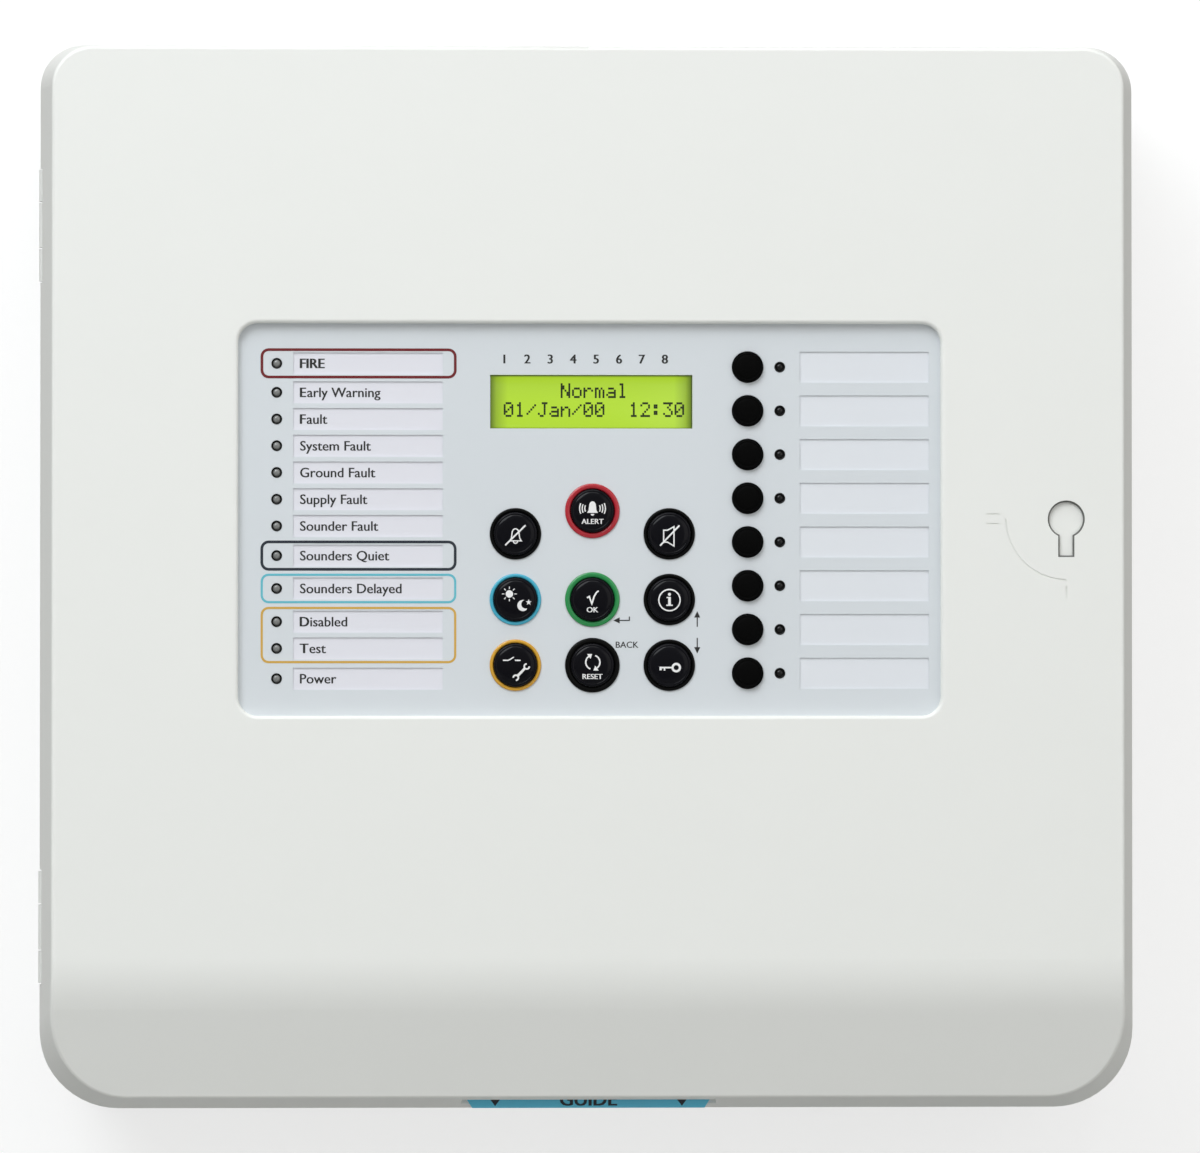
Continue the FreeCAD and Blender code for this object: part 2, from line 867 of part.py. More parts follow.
def lead(name, points, radius):
    """A round battery lead."""
    run = points[1] - points[0]
    circle = Part.Circle(points[0], run, S.lead_radius.value)
    swept(name, bent_path(points, radius), Part.Wire([circle.toShape()]))


def battery_socket_x(way):
    """The X of a way of the battery socket on the main board."""
    return MAIN_RIGHT - S.battery_socket_inset + S.terminal_pitch * way


def battery_leads():
    """The link between the batteries and the two leads to the main board."""
    tabs = tab_places()
    low = BATTERY_TOP + S.tab_height
    high = low + S.tab_inset
    entry = BOARD_FRONT + S.terminal_rise / 2
    bend = S.lead_radius.value * 3
    link = [spot(tabs[1], S.tab_depth, low), spot(tabs[1], S.tab_depth, high),
            spot(tabs[2], S.tab_depth, high), spot(tabs[2], S.tab_depth, low)]
    lead("battery_link_lead", link, bend)
    level = (low + MAIN_LOW) / 2
    for name, tab, way in (("battery_lead_red", tabs[3], 1), ("battery_lead_black", tabs[0], 0)):
        x = battery_socket_x(way)
        depth = entry if way == 0 else S.tab_depth
        points = [spot(tab, S.tab_depth, low), spot(tab, S.tab_depth, level),
                  spot(x, entry, level), spot(x, entry, MAIN_LOW)]
        lead(name, points, bend)


# ---------------------------------------------------------------- boards in the box

def board(name, x, z, width, height, back, screws, hole):
    """A printed circuit board with its screw holes."""
    plate = centred(x, z, width, height, (back, back + S.board_thickness))
    holes = [rod(hole, sx, sz, (back - S.wall, back + S.wall)) for sx, sz in screws]
    node(name, cut(plate, *holes))


def screw(x, z, under, reach, facing=1):
    """A pan-head screw: its head on one face, its shank reaching through."""
    if facing > 0:
        head = rod(S.screw_head, x, z, (under, under + S.screw_head_height))
        shank = rod(S.screw_radius, x, z, (under - reach, under))
    else:
        head = rod(S.screw_head, x, z, (under - S.screw_head_height, under))
        shank = rod(S.screw_radius, x, z, (under, under + reach))
    return fused(head, shank)


def terminal_strip(left, z, ways):
    """A screw terminal strip that stands on a board."""
    width = S.terminal_pitch * ways
    strip = block((left, left + width), (BOARD_FRONT, BOARD_FRONT + S.terminal_rise),
                  (z - S.terminal_depth / 2, z + S.terminal_depth / 2))
    screws = []
    entries = []
    for way in range(ways):
        x = left + S.terminal_pitch * (way + 0.5)
        top = BOARD_FRONT + S.terminal_rise
        screws.append(rod(S.terminal_screw, x, z, (top - S.terminal_screw_drop, top + S.wall)))
        mouth = (BOARD_FRONT + S.wire_entry_low, BOARD_FRONT + S.wire_entry_high)
        entries.append(centred(x, z + S.terminal_depth / 2, S.terminal_screw * 2,
                               S.terminal_screw * 2, mouth))
    return cut(strip, group(screws + entries))


def main_board_parts():
    """The main board and what stands on it."""
    board("main_board", S.main_x, S.main_z, S.main_width, S.main_height, BOARD_BACK,
          main_board_screws(), S.screw_radius)
    top = MAIN_TOP - S.terminal_depth / 2
    margin = S.board_screw_inset * 2
    node("zone_terminals", terminal_strip(MAIN_LEFT + margin, top, ZONE_WAYS))
    output_left = MAIN_RIGHT - margin - S.terminal_pitch * OUTPUT_WAYS
    socket = terminal_strip(battery_socket_x(-0.5), MAIN_LOW + S.terminal_depth / 2, 2)
    node("output_terminals", group([terminal_strip(output_left, top, OUTPUT_WAYS), socket]))
    on_board = (BOARD_FRONT, BOARD_FRONT + S.relay_rise)
    relay_z = MAIN_TOP - S.terminal_depth * 2 - S.relay_length / 2
    relays = []
    for index in range(RELAYS):
        x = output_left - S.relay_pitch * 2 + S.relay_pitch * index
        relays.append(centred(x, relay_z, S.relay_width, S.relay_length, on_board))
    node("relays", group(relays))
    capacitors = []
    for index in range(CAPACITORS):
        x = MAIN_RIGHT - S.capacitor_pitch * (index + 1)
        capacitors.append(rod(S.capacitor_radius, x, S.main_z,
                              (BOARD_FRONT, BOARD_FRONT + S.capacitor_rise)))
    node("capacitors", group(capacitors))
    fuses = []
    for index in range(FUSES):
        z = S.main_z - S.fuse_pitch * (index + 1)
        x = MAIN_RIGHT - S.fuse_length
        clips = centred(x, z, S.fuse_length, S.fuse_radius * 2,
                        (BOARD_FRONT, BOARD_FRONT + S.fuse_radius * 2.5))
        fuses.append(clips)
    node("fuses", group(fuses))
    node("ribbon_header_main", centred(MAIN_LEFT + S.header_width, S.ribbon_z, S.header_width,
                                       S.header_length, (BOARD_FRONT, BOARD_FRONT + S.header_rise)))
    screws = [screw(x, z, BOARD_FRONT, S.standoff_height)
              for x, z in main_board_screws() + power_board_screws()]
    node("board_screws", group(screws))


def mains_block_centre():
    """The middle of the mains terminal block, above the power board."""
    return (S.power_x, S.power_z + S.power_height / 2 + S.mains_block_lift)


def power_parts():
    """The power board, its transformer and the mains terminal block."""
    board("power_board", S.power_x, S.power_z, S.power_width, S.power_height, BOARD_BACK,
          power_board_screws(), S.screw_radius)
    x = S.power_x - S.power_width / 2 + S.transformer_width
    z = S.power_z + S.power_height / 2 - S.transformer_height
    core = centred(x, z, S.transformer_width, S.core_height,
                   (BOARD_FRONT, BOARD_FRONT + S.transformer_rise))
    coil = centred(x, z, S.winding_width, S.transformer_height,
                   (BOARD_FRONT + S.winding_gap, BOARD_FRONT + S.transformer_rise - S.winding_setback))
    node("power_transformer", fused(core, coil))
    back = S.wall + S.boss_rise
    front = back + S.mains_block_rise
    x, z = mains_block_centre()
    body = centred(x, z, S.mains_block_width, S.mains_block_height, (back, front))
    third = S.mains_block_width / 3
    tools = []
    for way in (-1, 0, 1):
        tools.append(rod(S.terminal_screw * 1.6, x + third * way, z, (front - 4, front + 4)))
        tools.append(centred(x + third * way, z + S.mains_block_height / 2, S.mains_block_width / 6,
                             4, (back + 4, back + 9)))
    node("mains_terminal_block", cut(body, group(tools)))


def ribbon(name, points, bend):
    """A flat cable whose width runs along Z."""
    half = S.ribbon_width.value / 2
    across = (points[1] - points[0]).cross(Vector(0, 0, 1)).normalize()
    offset = across * (S.ribbon_thickness.value / 2)
    rise = Vector(0, 0, half)
    ring = [points[0] + offset - rise, points[0] + offset + rise,
            points[0] - offset + rise, points[0] - offset - rise]
    swept(name, bent_path(points, bend), Part.makePolygon(ring + ring[:1]))


def ribbon_halves():
    """The display's flat cable, which folds at the hinge: its run in the box and its run in the door."""
    turn_x = HINGE_X + S.lug_length
    header_x = MAIN_LEFT + S.header_width
    level = BOARD_FRONT + S.transformer_rise + S.lug_web * 2
    z = S.ribbon_z
    bend = S.ribbon_bend.value
    in_box = [spot(header_x, BOARD_FRONT + S.header_rise, z), spot(header_x, level, z),
              spot(turn_x, level, z), spot(turn_x, S.box_depth - S.door_gap, z)]
    ribbon("ribbon_housing_half", in_box, bend)
    back = PANEL_BOARD_BACK - S.header_rise - S.ribbon_thickness / 2
    in_door = [spot(turn_x, RIM, z), spot(turn_x, back, z), spot(door_header_x(), back, z)]
    ribbon("ribbon_door_half", in_door, S.ribbon_door_bend.value)


def door_header_x():
    """The X of the flat cable's header on the display board."""
    return WINDOW_LEFT + S.header_width * 1.6


# ---------------------------------------------------------------- front cover

BEND_Z = -HALF_HEIGHT + S.slope_rise
BEND_DEPTH = S.panel_depth - S.bend_radius


def slope_depth(inset, z):
    """The depth of the sloping lower face, or of a face inside it, at a height."""
    radius = S.bend_radius - inset
    bend_end_depth = BEND_DEPTH + radius * cosine(S.slope_angle)
    bend_end_z = BEND_Z - radius * sine(S.slope_angle)
    return bend_end_depth - (bend_end_z - z) * tangent(S.slope_angle)


def cover_form(inset):
    """The cover's outer form, or the hollow inside it, as a drafted block under a bent face."""
    overrun = S.wall
    share = 1 + overrun / (S.panel_depth - RIM)
    near = inset_outline(inset, 0, 0, 0, S.top_corner, S.low_corner)
    top_corner = S.top_corner + (S.face_top_corner - S.top_corner) * share
    low_corner = S.low_corner + (S.face_low_corner - S.low_corner) * share
    far = inset_outline(inset, S.side_draft * share, S.top_draft * share, S.low_draft * share,
                        top_corner, low_corner)
    block_form = drafted(near, RIM, far, S.panel_depth + overrun)
    front = S.panel_depth - inset
    radius = S.bend_radius - inset
    low = -HALF_HEIGHT - S.wall
    back = RIM - S.wall
    corners = [
        (-back, low),
        (-slope_depth(inset, low), low),
        (-(BEND_DEPTH + radius * cosine(S.slope_angle)), BEND_Z - radius * sine(S.slope_angle),
         radius, -BEND_DEPTH, BEND_Z),
        (-front, BEND_Z),
        (-front, HALF_HEIGHT + S.wall),
        (-back, HALF_HEIGHT + S.wall),
    ]
    return common(block_form, side_profile(corners, S.panel_width + S.wall * 2))


def fascia_hooks():
    """The hooks that hold the fascia plate behind the window."""
    hooks = []
    low = WINDOW_LOW - S.plate_lap - S.hook_slack
    top = WINDOW_TOP + S.plate_lap + S.hook_slack
    nose_front = PLATE_BACK - S.hook_slack
    nose_back = nose_front - S.hook_nose
    for column in (-1, 0, 1):
        x = S.window_x + S.window_width * 0.35 * column
        span = (x - S.hook_width / 2, x + S.hook_width / 2)
        for edge, side in ((low, -1), (top, 1)):
            stem = sorted_pair(edge, edge + S.hook_wall * side)
            nose = sorted_pair(edge - S.hook_nose * side, edge + S.hook_wall * side)
            hooks.append(block(span, (nose_back, INNER_FACE + S.wall / 2), stem))
            hooks.append(block(span, (nose_back, nose_front), nose))
    return hooks


def sorted_pair(first, second):
    """Two sizes, the lower one first."""
    return (first, second) if first.value < second.value else (second, first)


def turn_marks():
    """The shallow marks round the keyhole: a quarter arc, a tick below and two beside it."""
    span = (S.panel_depth - S.mark_depth, S.panel_depth + S.wall)
    half = S.mark_width / 2
    ring = cut(rod(S.turn_mark_radius + half, LOCK_X, S.lock_height, span),
               rod(S.turn_mark_radius - half, LOCK_X, S.lock_height, span))
    reach = S.turn_mark_radius * 2
    quarter = block((LOCK_X - reach, LOCK_X), span, (S.lock_height - reach, S.lock_height))
    tick = S.mark_width * 8
    out = S.turn_mark_radius + tick
    marks = [common(ring, quarter)]
    marks.append(centred(LOCK_X, S.lock_height - out, S.mark_width, tick, span))
    for side in (-1, 1):
        z = S.lock_height + S.mark_width * 3 * side
        marks.append(centred(LOCK_X - out, z, tick, S.mark_width, span))
    return marks


def keyhole_tools():
    """The keyhole in the face and the pocket for the lock behind it."""
    pocket = S.barrel_radius + S.turning_clearance
    face = (S.panel_depth - S.keyhole_skin - S.wall / 2, S.panel_depth + S.wall)
    slot = (S.lock_height - S.keyhole_drop, S.lock_height)
    return [
        rod(pocket, LOCK_X, S.lock_height, (BUSH_FRONT - S.wall, S.panel_depth - S.keyhole_skin)),
        rod(S.keyhole_radius, LOCK_X, S.lock_height, face),
        block((LOCK_X - S.keyhole_slot / 2, LOCK_X + S.keyhole_slot / 2), face, slot),
    ]


def hinge_tools():
    """What the hinge takes out of the cover: pin bores, room for the lugs, and the round corner."""
    tools = []
    for z in HINGE_HEIGHTS:
        half = S.knuckle_length / 2
        tools.append(post(S.pin_radius + S.pin_clearance, HINGE_X, HINGE_DEPTH, (z - half, z + half)))
    for span in hinge_spans(S.lug_length + S.knuckle_gap * 2, S.knuckle_length / 2):
        tools.append(post(S.hinge_radius + S.hinge_clearance, HINGE_X, HINGE_DEPTH, span))
    tall = (-HALF_HEIGHT - S.wall, HALF_HEIGHT + S.wall)
    corner = block((HINGE_X - S.hinge_radius * 2, HINGE_X),
                   (HINGE_DEPTH - S.hinge_radius * 2, HINGE_DEPTH), tall)
    tools.append(cut(corner, post(S.hinge_radius, HINGE_X, HINGE_DEPTH, tall)))
    return tools


def card_notch():
    """The flared notch in the cover's bottom wall that the information card slides through."""
    half = S.info_width / 2 + S.notch_clearance
    low = -HALF_HEIGHT - S.wall
    high = -HALF_HEIGHT + S.wall * 2.5
    x = S.window_x
    corners = [(x - half - S.notch_flare, low), (x + half + S.notch_flare, low),
               (x + half, high), (x - half, high)]
    back = S.info_depth - S.info_thickness / 2 - S.notch_clearance
    return slab(corners, (back, slope_depth(0, -HALF_HEIGHT + S.wall) - S.wall))


def faces_out(face):
    """Whether a face looks out of the wall."""
    low_u, high_u, low_v, high_v = face.ParameterRange
    return face.normalAt((low_u + high_u) / 2, (low_v + high_v) / 2).y < -0.8


def rim_edges(shape, wanted):
    """The numbers of the edges between a face that looks out and one that doesn't, if wanted."""
    numbers = []
    for number, edge in enumerate(shape.Edges, start=1):
        faces = shape.ancestorsOfType(edge, Part.Face)
        if sum(faces_out(face) for face in faces) == 1 and wanted(edge.BoundBox):
            numbers.append(number)
    return numbers


def rounded(base, radius, wanted):
    """A solid with its wanted rim edges rounded."""
    DOC.recompute()
    result = DOC.addObject("Part::Fillet", "rounded")
    result.Base = base
    result.Edges = [(number, radius.value, radius.value) for number in rim_edges(base.Shape, wanted)]
    return result


def on_window_rim(box):
    """Whether an edge's bounds lie round the window at the cover's face."""
    return (box.YMax < -S.panel_depth.value + 0.01
            and abs(box.Center.x - S.window_x.value) < S.window_width.value / 2 + 0.1
            and abs(box.Center.z - S.window_z.value) < S.window_height.value / 2 + 0.1)


def front_cover():
    """The hinged cover: shell, hooks, hinge knuckles, lock boss and every opening."""
    outer = rounded(cover_form(as_dim(0)), S.edge_round, lambda box: True)
    shell = cut(outer, cover_form(S.wall))
    lumps = fascia_hooks()
    boss = S.barrel_radius + S.turning_clearance + S.lock_boss_wall
    lumps.append(rod(boss, LOCK_X, S.lock_height, (BUSH_FRONT, INNER_FACE + S.wall / 2)))
    for z in HINGE_HEIGHTS:
        half = S.knuckle_length / 2
        lumps.append(post(S.hinge_radius, HINGE_X, HINGE_DEPTH, (z - half, z + half)))
    window = slab(centred_outline(S.window_x, S.window_z, S.window_width, S.window_height,
                                  S.window_corner), (INNER_FACE - S.wall, S.panel_depth + S.wall))
    tools = [window, card_notch()] + keyhole_tools() + hinge_tools() + turn_marks()
    cover = cut(fused(shell, *lumps), *tools)
    node("front_cover", rounded(cover, S.window_round, on_window_rim))


def lock_parts():
    """The lock: a bush on the cover, the barrel that the key turns, and its cam."""
    x, z = LOCK_X, S.lock_height
    plate = rod(S.barrel_radius + S.turning_clearance + S.lock_boss_wall, x, z,
                (BUSH_FRONT - S.bush_thickness, BUSH_FRONT))
    sleeve_back = BUSH_FRONT - S.bush_thickness - S.bush_sleeve
    sleeve = rod(S.shaft_radius + S.wall, x, z, (sleeve_back, BUSH_FRONT - S.bush_thickness / 2))
    bore = rod(S.shaft_radius + S.shaft_clearance, x, z, (sleeve_back - S.wall, BARREL_BACK + S.wall))
    node("lock_bush", cut(fused(plate, sleeve), bore))
    head = rod(S.barrel_radius, x, z, (BARREL_BACK, BARREL_FRONT))
    shaft = rod(S.shaft_radius, x, z, (CAM_FRONT, BARREL_BACK + S.wall / 2))
    spigot = rod(S.shaft_radius / 2, x, z, (CAM_BACK - S.cam_gap, CAM_FRONT + S.wall))
    ward = S.keyhole_slot / 2 - S.turning_clearance
    slot = block((x - S.keyhole_drop + S.turning_clearance, x - S.keyhole_radius),
                 (BARREL_FRONT - S.keyhole_skin, BARREL_FRONT + S.wall), (z - ward, z + ward))
    node("lock_barrel", cut(fused(head, shaft, spigot), slot))
    disc = rod(S.cam_width * 0.75, x, z, (CAM_BACK, CAM_FRONT))
    arm = block((x - S.cam_width / 2, x + S.cam_width / 2), (CAM_BACK, CAM_FRONT), (z - S.cam_length, z))
    node("lock_cam", cut(fused(disc, arm), rod(S.shaft_radius / 2, x, z, (CAM_BACK - 1, CAM_FRONT + 1))))


# ---------------------------------------------------------------- fascia

def lamp_places():
    """Every indicator lamp: twelve beside the status labels, then one for each zone."""
    return [(STATUS_LAMP_X, z) for z in STATUS_ROWS] + [(ZONE_LAMP_X, z) for z in ZONE_ROWS]


def zone_key_names():
    """The names of the zone keys, from the top down."""
    return [f"zone_key_{number}" for number in range(1, ZONES + 1)]


def peg_places():
    """Where the display board is screwed to the fascia plate."""
    inset = S.peg_inset - S.panel_board_lap
    low, top = WINDOW_LOW + inset, WINDOW_TOP - inset
    corners = board_corners(WINDOW_LEFT, WINDOW_RIGHT, WINDOW_LOW, WINDOW_TOP, inset)
    return corners + [(S.window_x, low), (S.window_x, top)]


def label_windows(depth):
    """The openings over the label cards."""
    tools = []
    for z in STATUS_ROWS:
        tools.append(centred(STATUS_LABEL_X, z, S.status_label_width, S.status_label_height, depth))
    for z in ZONE_ROWS:
        tools.append(centred(ZONE_LABEL_X, z, S.zone_label_width, S.zone_label_height, depth))
    return tools


def display_window(depth):
    """The opening over the display."""
    return centred(DISPLAY_X, DISPLAY_Z, S.display_width, S.display_height, depth)


def lamp_holes(depth):
    """The holes round the lamps."""
    return [rod(S.lamp_radius + S.lamp_clearance, x, z, depth) for x, z in lamp_places()]


def fascia_overlay():
    """The thin printed sheet behind the window."""
    span = (OVERLAY_BACK, INNER_FACE)
    through = (OVERLAY_BACK - S.wall, INNER_FACE + S.wall)
    lap = S.overlay_lap * 2
    sheet = slab(centred_outline(S.window_x, S.window_z, S.window_width + lap, S.window_height + lap,
                                 S.window_corner), span)
    tools = [display_window(through)] + lamp_holes(through) + label_windows(through)
    for x, z, radius in CONTROLS.values():
        tools.append(rod(radius, x, z, through))
    for z in ZONE_ROWS:
        tools.append(rod(S.zone_key_radius + S.key_clearance, ZONE_KEY_X, z, through))
    node("fascia_overlay", cut(sheet, group(tools)))


def card_outline(x, width, rows, row_height, margin):
    """A label card's centre and size."""
    low = rows[-1] - row_height / 2 - margin
    top = rows[0] + row_height / 2 + margin
    return (x, (low + top) / 2, width + margin * 2, top - low)


def label_cards(extra=0.0):
    """The outlines of the two label cards, or of their pockets."""
    margin = S.card_margin + extra
    return {
        "status_label_card": card_outline(STATUS_LABEL_X, S.status_label_width, STATUS_ROWS,
                                          S.status_label_height, margin),
        "zone_label_card": card_outline(ZONE_LABEL_X, S.zone_label_width, ZONE_ROWS,
                                        S.zone_label_height, margin),
    }


def fascia_plate():
    """The moulded plate that carries the keys, lamps, cards and the display board."""
    lap = S.plate_lap * 2
    span = (PLATE_BACK, OVERLAY_BACK)
    through = (PLATE_BACK - S.wall, OVERLAY_BACK + S.wall)
    plate = slab(centred_outline(S.window_x, S.window_z, S.window_width + lap, S.window_height + lap,
                                 S.window_corner), span)
    pegs = [rod(S.peg_radius, x, z, (PANEL_BOARD_FRONT, PLATE_BACK + S.wall / 2))
            for x, z in peg_places()]
    tools = [display_window(through)] + lamp_holes(through)
    for x, z, _ in CONTROLS.values():
        tools.append(rod(S.key_radius + S.key_clearance, x, z, through))
    for z in ZONE_ROWS:
        tools.append(rod(S.zone_key_radius + S.key_clearance, ZONE_KEY_X, z, through))
    pocket = (OVERLAY_BACK - S.card_thickness, OVERLAY_BACK + S.wall)
    for outline in label_cards(S.card_clearance).values():
        tools.append(centred(*outline, pocket))
    for x, z in peg_places():
        tools.append(rod(S.screw_radius, x, z, (PANEL_BOARD_FRONT - S.wall, PLATE_BACK)))
    node("fascia_plate", cut(fused(plate, *pegs), group(tools)))


def cards():
    """The two label cards in their pockets."""
    for name, outline in label_cards().items():
        node(name, centred(*outline, (OVERLAY_BACK - S.card_thickness, OVERLAY_BACK)))


def key(name, x, z, radius):
    """One key: crowned head, flange behind the plate, and the stem that works its switch."""
    flange_front = PLATE_BACK - S.turning_clearance
    flange_back = flange_front - S.flange_thickness
    shoulder = INNER_FACE + S.key_proud
    stem_end = PANEL_BOARD_FRONT + S.switch_height + S.plunger_height + S.key_travel + S.turning_clearance
    head = rod(radius, x, z, (flange_back, shoulder))
    top = crown(radius, radius - S.crown_inset, x, z, (shoulder, shoulder + S.key_crown))
    flange = rod(radius + S.flange_lap, x, z, (flange_back, flange_front))
    stem = rod(S.stem_radius, x, z, (stem_end, flange_front))
    node(name, fused(head, top, flange, stem))


def keys():
    """The nine control keys and the zone keys."""
    for name, (x, z, _) in CONTROLS.items():
        key(name, x, z, S.key_radius)
    for name, z in zip(zone_key_names(), ZONE_ROWS):
        key(name, ZONE_KEY_X, z, S.zone_key_radius)


def key_rings():
    """The rings round the control keys."""
    span = (OVERLAY_BACK, INNER_FACE + S.ring_proud)
    rings = []
    for x, z, radius in CONTROLS.values():
        rings.append(cut(rod(radius, x, z, span),
                         rod(S.key_radius + S.key_clearance, x, z, (PLATE_BACK, S.panel_depth))))
    node("key_rings", group(rings))


def switches():
    """A push switch on the display board behind each key."""
    places = [(x, z) for x, z, _ in CONTROLS.values()] + [(ZONE_KEY_X, z) for z in ZONE_ROWS]
    top = PANEL_BOARD_FRONT + S.switch_height
    parts = []
    for x, z in places:
        case = centred(x, z, S.switch_side, S.switch_side, (PANEL_BOARD_FRONT, top))
        parts.append(fused(case, rod(S.plunger_radius, x, z, (top, top + S.plunger_height))))
    node("tact_switches", group(parts))


def lamps():
    """The indicator lamps, standing on the display board."""
    shoulder = INNER_FACE - S.lamp_clearance
    solids = []
    for x, z in lamp_places():
        stalk = rod(S.lamp_radius, x, z, (PANEL_BOARD_FRONT, shoulder))
        dome = crown(S.lamp_radius, S.lamp_radius / 2, x, z, (shoulder, INNER_FACE + S.lamp_proud))
        solids.append(fused(stalk, dome))
    node("indicator_leds", group(solids))


def display_module():
    """The character display: its own small board on posts, its metal frame and its glass."""
    back = PANEL_BOARD_FRONT + S.module_lift
    plate = centred(DISPLAY_X, DISPLAY_Z, S.module_width, S.module_height, (back, MODULE_FRONT))
    half_width = S.module_width / 2
    half_height = S.module_height / 2
    posts = [rod(S.stem_radius, x, z, (PANEL_BOARD_FRONT, back + S.board_thickness / 2))
             for x, z in board_corners(DISPLAY_X - half_width, DISPLAY_X + half_width,
                                       DISPLAY_Z - half_height, DISPLAY_Z + half_height, S.wall)]
    node("lcd_board", fused(plate, *posts))
    frame = centred(DISPLAY_X, DISPLAY_Z, S.bezel_width, S.bezel_height,
                    (MODULE_FRONT, MODULE_FRONT + S.bezel_depth))
    hole = centred(DISPLAY_X, DISPLAY_Z, S.display_width, S.display_height,
                   (MODULE_FRONT - S.wall, MODULE_FRONT + S.bezel_depth + S.wall))
    node("lcd_bezel", cut(frame, hole))
    node("lcd_glass", centred(DISPLAY_X, DISPLAY_Z, S.display_width - S.card_clearance,
                              S.display_height - S.card_clearance,
                              (MODULE_FRONT, MODULE_FRONT + S.glass_depth)))


def display_board():
    """The board behind the fascia, its screws, its buzzer and the flat cable's header."""
    lap = S.panel_board_lap * 2
    board("display_board", S.window_x, S.window_z, S.window_width + lap, S.window_height + lap,
          PANEL_BOARD_BACK, peg_places(), S.screw_radius)
    screws = [screw(x, z, PANEL_BOARD_BACK, S.board_thickness + S.wall, facing=-1)
              for x, z in peg_places()]
    node("display_screws", group(screws))
    node("buzzer", rod(S.buzzer_radius, ZONE_LABEL_X, WINDOW_TOP - S.buzzer_radius * 3,
                       (PANEL_BOARD_BACK - S.buzzer_rise, PANEL_BOARD_BACK)))
    node("ribbon_header_door", centred(door_header_x(), S.ribbon_z, S.header_width, S.header_length,
                                       (PANEL_BOARD_BACK - S.header_rise, PANEL_BOARD_BACK)))


# ---------------------------------------------------------------- information card

def info_card():
    """The pull-out card, with a tapered tip that shows under the cover's lower edge."""
    half = S.info_width / 2
    x = S.window_x
    tip = INFO_LOW + S.info_tip
    top = INFO_LOW + S.info_height
    corners = [(x - half + S.info_taper, INFO_LOW), (x + half - S.info_taper, INFO_LOW),
               (x + half, tip), (x + half, top), (x - half, top), (x - half, tip)]
    half_thickness = S.info_thickness / 2
    node("info_card", slab(corners, (S.info_depth - half_thickness, S.info_depth + half_thickness)))


def card_holder():
    """The sleeve that the card slides in, on two ribs from the cover's face."""
    x = S.window_x
    half = S.info_width / 2 + S.holder_clearance
    outer = half + S.holder_side
    slot = S.info_thickness / 2 + S.turning_clearance
    front = S.info_depth + slot + S.holder_wall
    back = S.info_depth - slot - S.holder_wall
    low = INFO_LOW + S.low_draft
    top = INFO_LOW + S.info_height + S.holder_clearance
    sleeve = block((x - outer, x + outer), (back, front), (low, top + S.holder_wall))
    hollow = block((x - half, x + half), (S.info_depth - slot, S.info_depth + slot),
                   (low - S.wall, top))
    ribs = []
    foot = BEND_Z + S.holder_wall
    for side in (-1, 1):
        edge = x + outer * side
        ribs.append(block(sorted_pair(edge - S.holder_wall * side, edge),
                          (front - S.holder_wall / 2, INNER_FACE), (foot, foot + S.holder_rib)))
    node("card_holder", cut(fused(sleeve, *ribs), hollow))


# ---------------------------------------------------------------- build and write

def check():
    """Stops if any object failed or any sub-part isn't a sound solid."""
    broken = [item.Label for item in DOC.Objects if {"Invalid", "Error"} & set(item.State)]
    if broken:
        raise RuntimeError(f"failed objects: {broken}")
    for feature in NODES:
        shape = feature.Shape
        if shape.isNull() or not shape.isValid() or not shape.Solids:
            raise RuntimeError(f"{feature.Label} is not a sound solid")


def build():
    """Builds every sub-part and writes them out."""
    rear_housing()
    hinge_pins()
    entry_grommets()
    batteries()
    battery_terminals()
    battery_leads()
    main_board_parts()
    power_parts()
    ribbon_halves()
    front_cover()
    lock_parts()
    fascia_overlay()
    fascia_plate()
    cards()
    keys()
    key_rings()
    switches()
    lamps()
    display_module()
    display_board()
    info_card()
    card_holder()
    DOC.recompute()
    check()
    os.makedirs("parts", exist_ok=True)
    for feature in NODES:
        feature.Shape.exportStep(f"parts/{feature.Label}.step")
        print(f"{feature.Label}: {len(feature.Shape.Solids)} solid(s), {feature.Shape.Volume:.0f} mm3")
    print(f"{len(NODES)} sub-parts")


build()
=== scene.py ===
"""The finished look of the fire alarm control panel, built around its fixed frame.

Lengths in the builders are millimetres, and Former turns them into the frame's metres. The frame's
X runs to the viewer's right, Y runs into the wall and Z runs up.
"""
import logging
import math
from dataclasses import dataclass, field
from enum import Enum, IntEnum
from typing import Callable, Iterable, Sequence

import bmesh
import bpy
import numpy as np
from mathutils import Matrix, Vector


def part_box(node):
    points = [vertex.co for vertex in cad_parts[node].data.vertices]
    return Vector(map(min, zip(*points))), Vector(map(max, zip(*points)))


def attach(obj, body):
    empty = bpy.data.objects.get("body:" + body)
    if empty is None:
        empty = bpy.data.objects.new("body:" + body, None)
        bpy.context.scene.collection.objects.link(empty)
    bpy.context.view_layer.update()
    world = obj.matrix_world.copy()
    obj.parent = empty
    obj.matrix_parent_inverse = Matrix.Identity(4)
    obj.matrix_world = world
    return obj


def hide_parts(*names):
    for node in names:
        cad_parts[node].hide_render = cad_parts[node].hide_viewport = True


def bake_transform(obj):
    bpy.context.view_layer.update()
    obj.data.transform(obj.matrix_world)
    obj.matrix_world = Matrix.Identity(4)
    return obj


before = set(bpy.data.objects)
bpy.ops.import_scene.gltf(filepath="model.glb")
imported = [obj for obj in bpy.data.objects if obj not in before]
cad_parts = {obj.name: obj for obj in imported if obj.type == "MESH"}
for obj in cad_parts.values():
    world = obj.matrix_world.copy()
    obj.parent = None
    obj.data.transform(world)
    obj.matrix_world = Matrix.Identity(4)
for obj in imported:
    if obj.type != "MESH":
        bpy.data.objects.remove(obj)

LOG = logging.getLogger("panel")
MM = 0.001
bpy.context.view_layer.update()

Point = tuple[float, float]
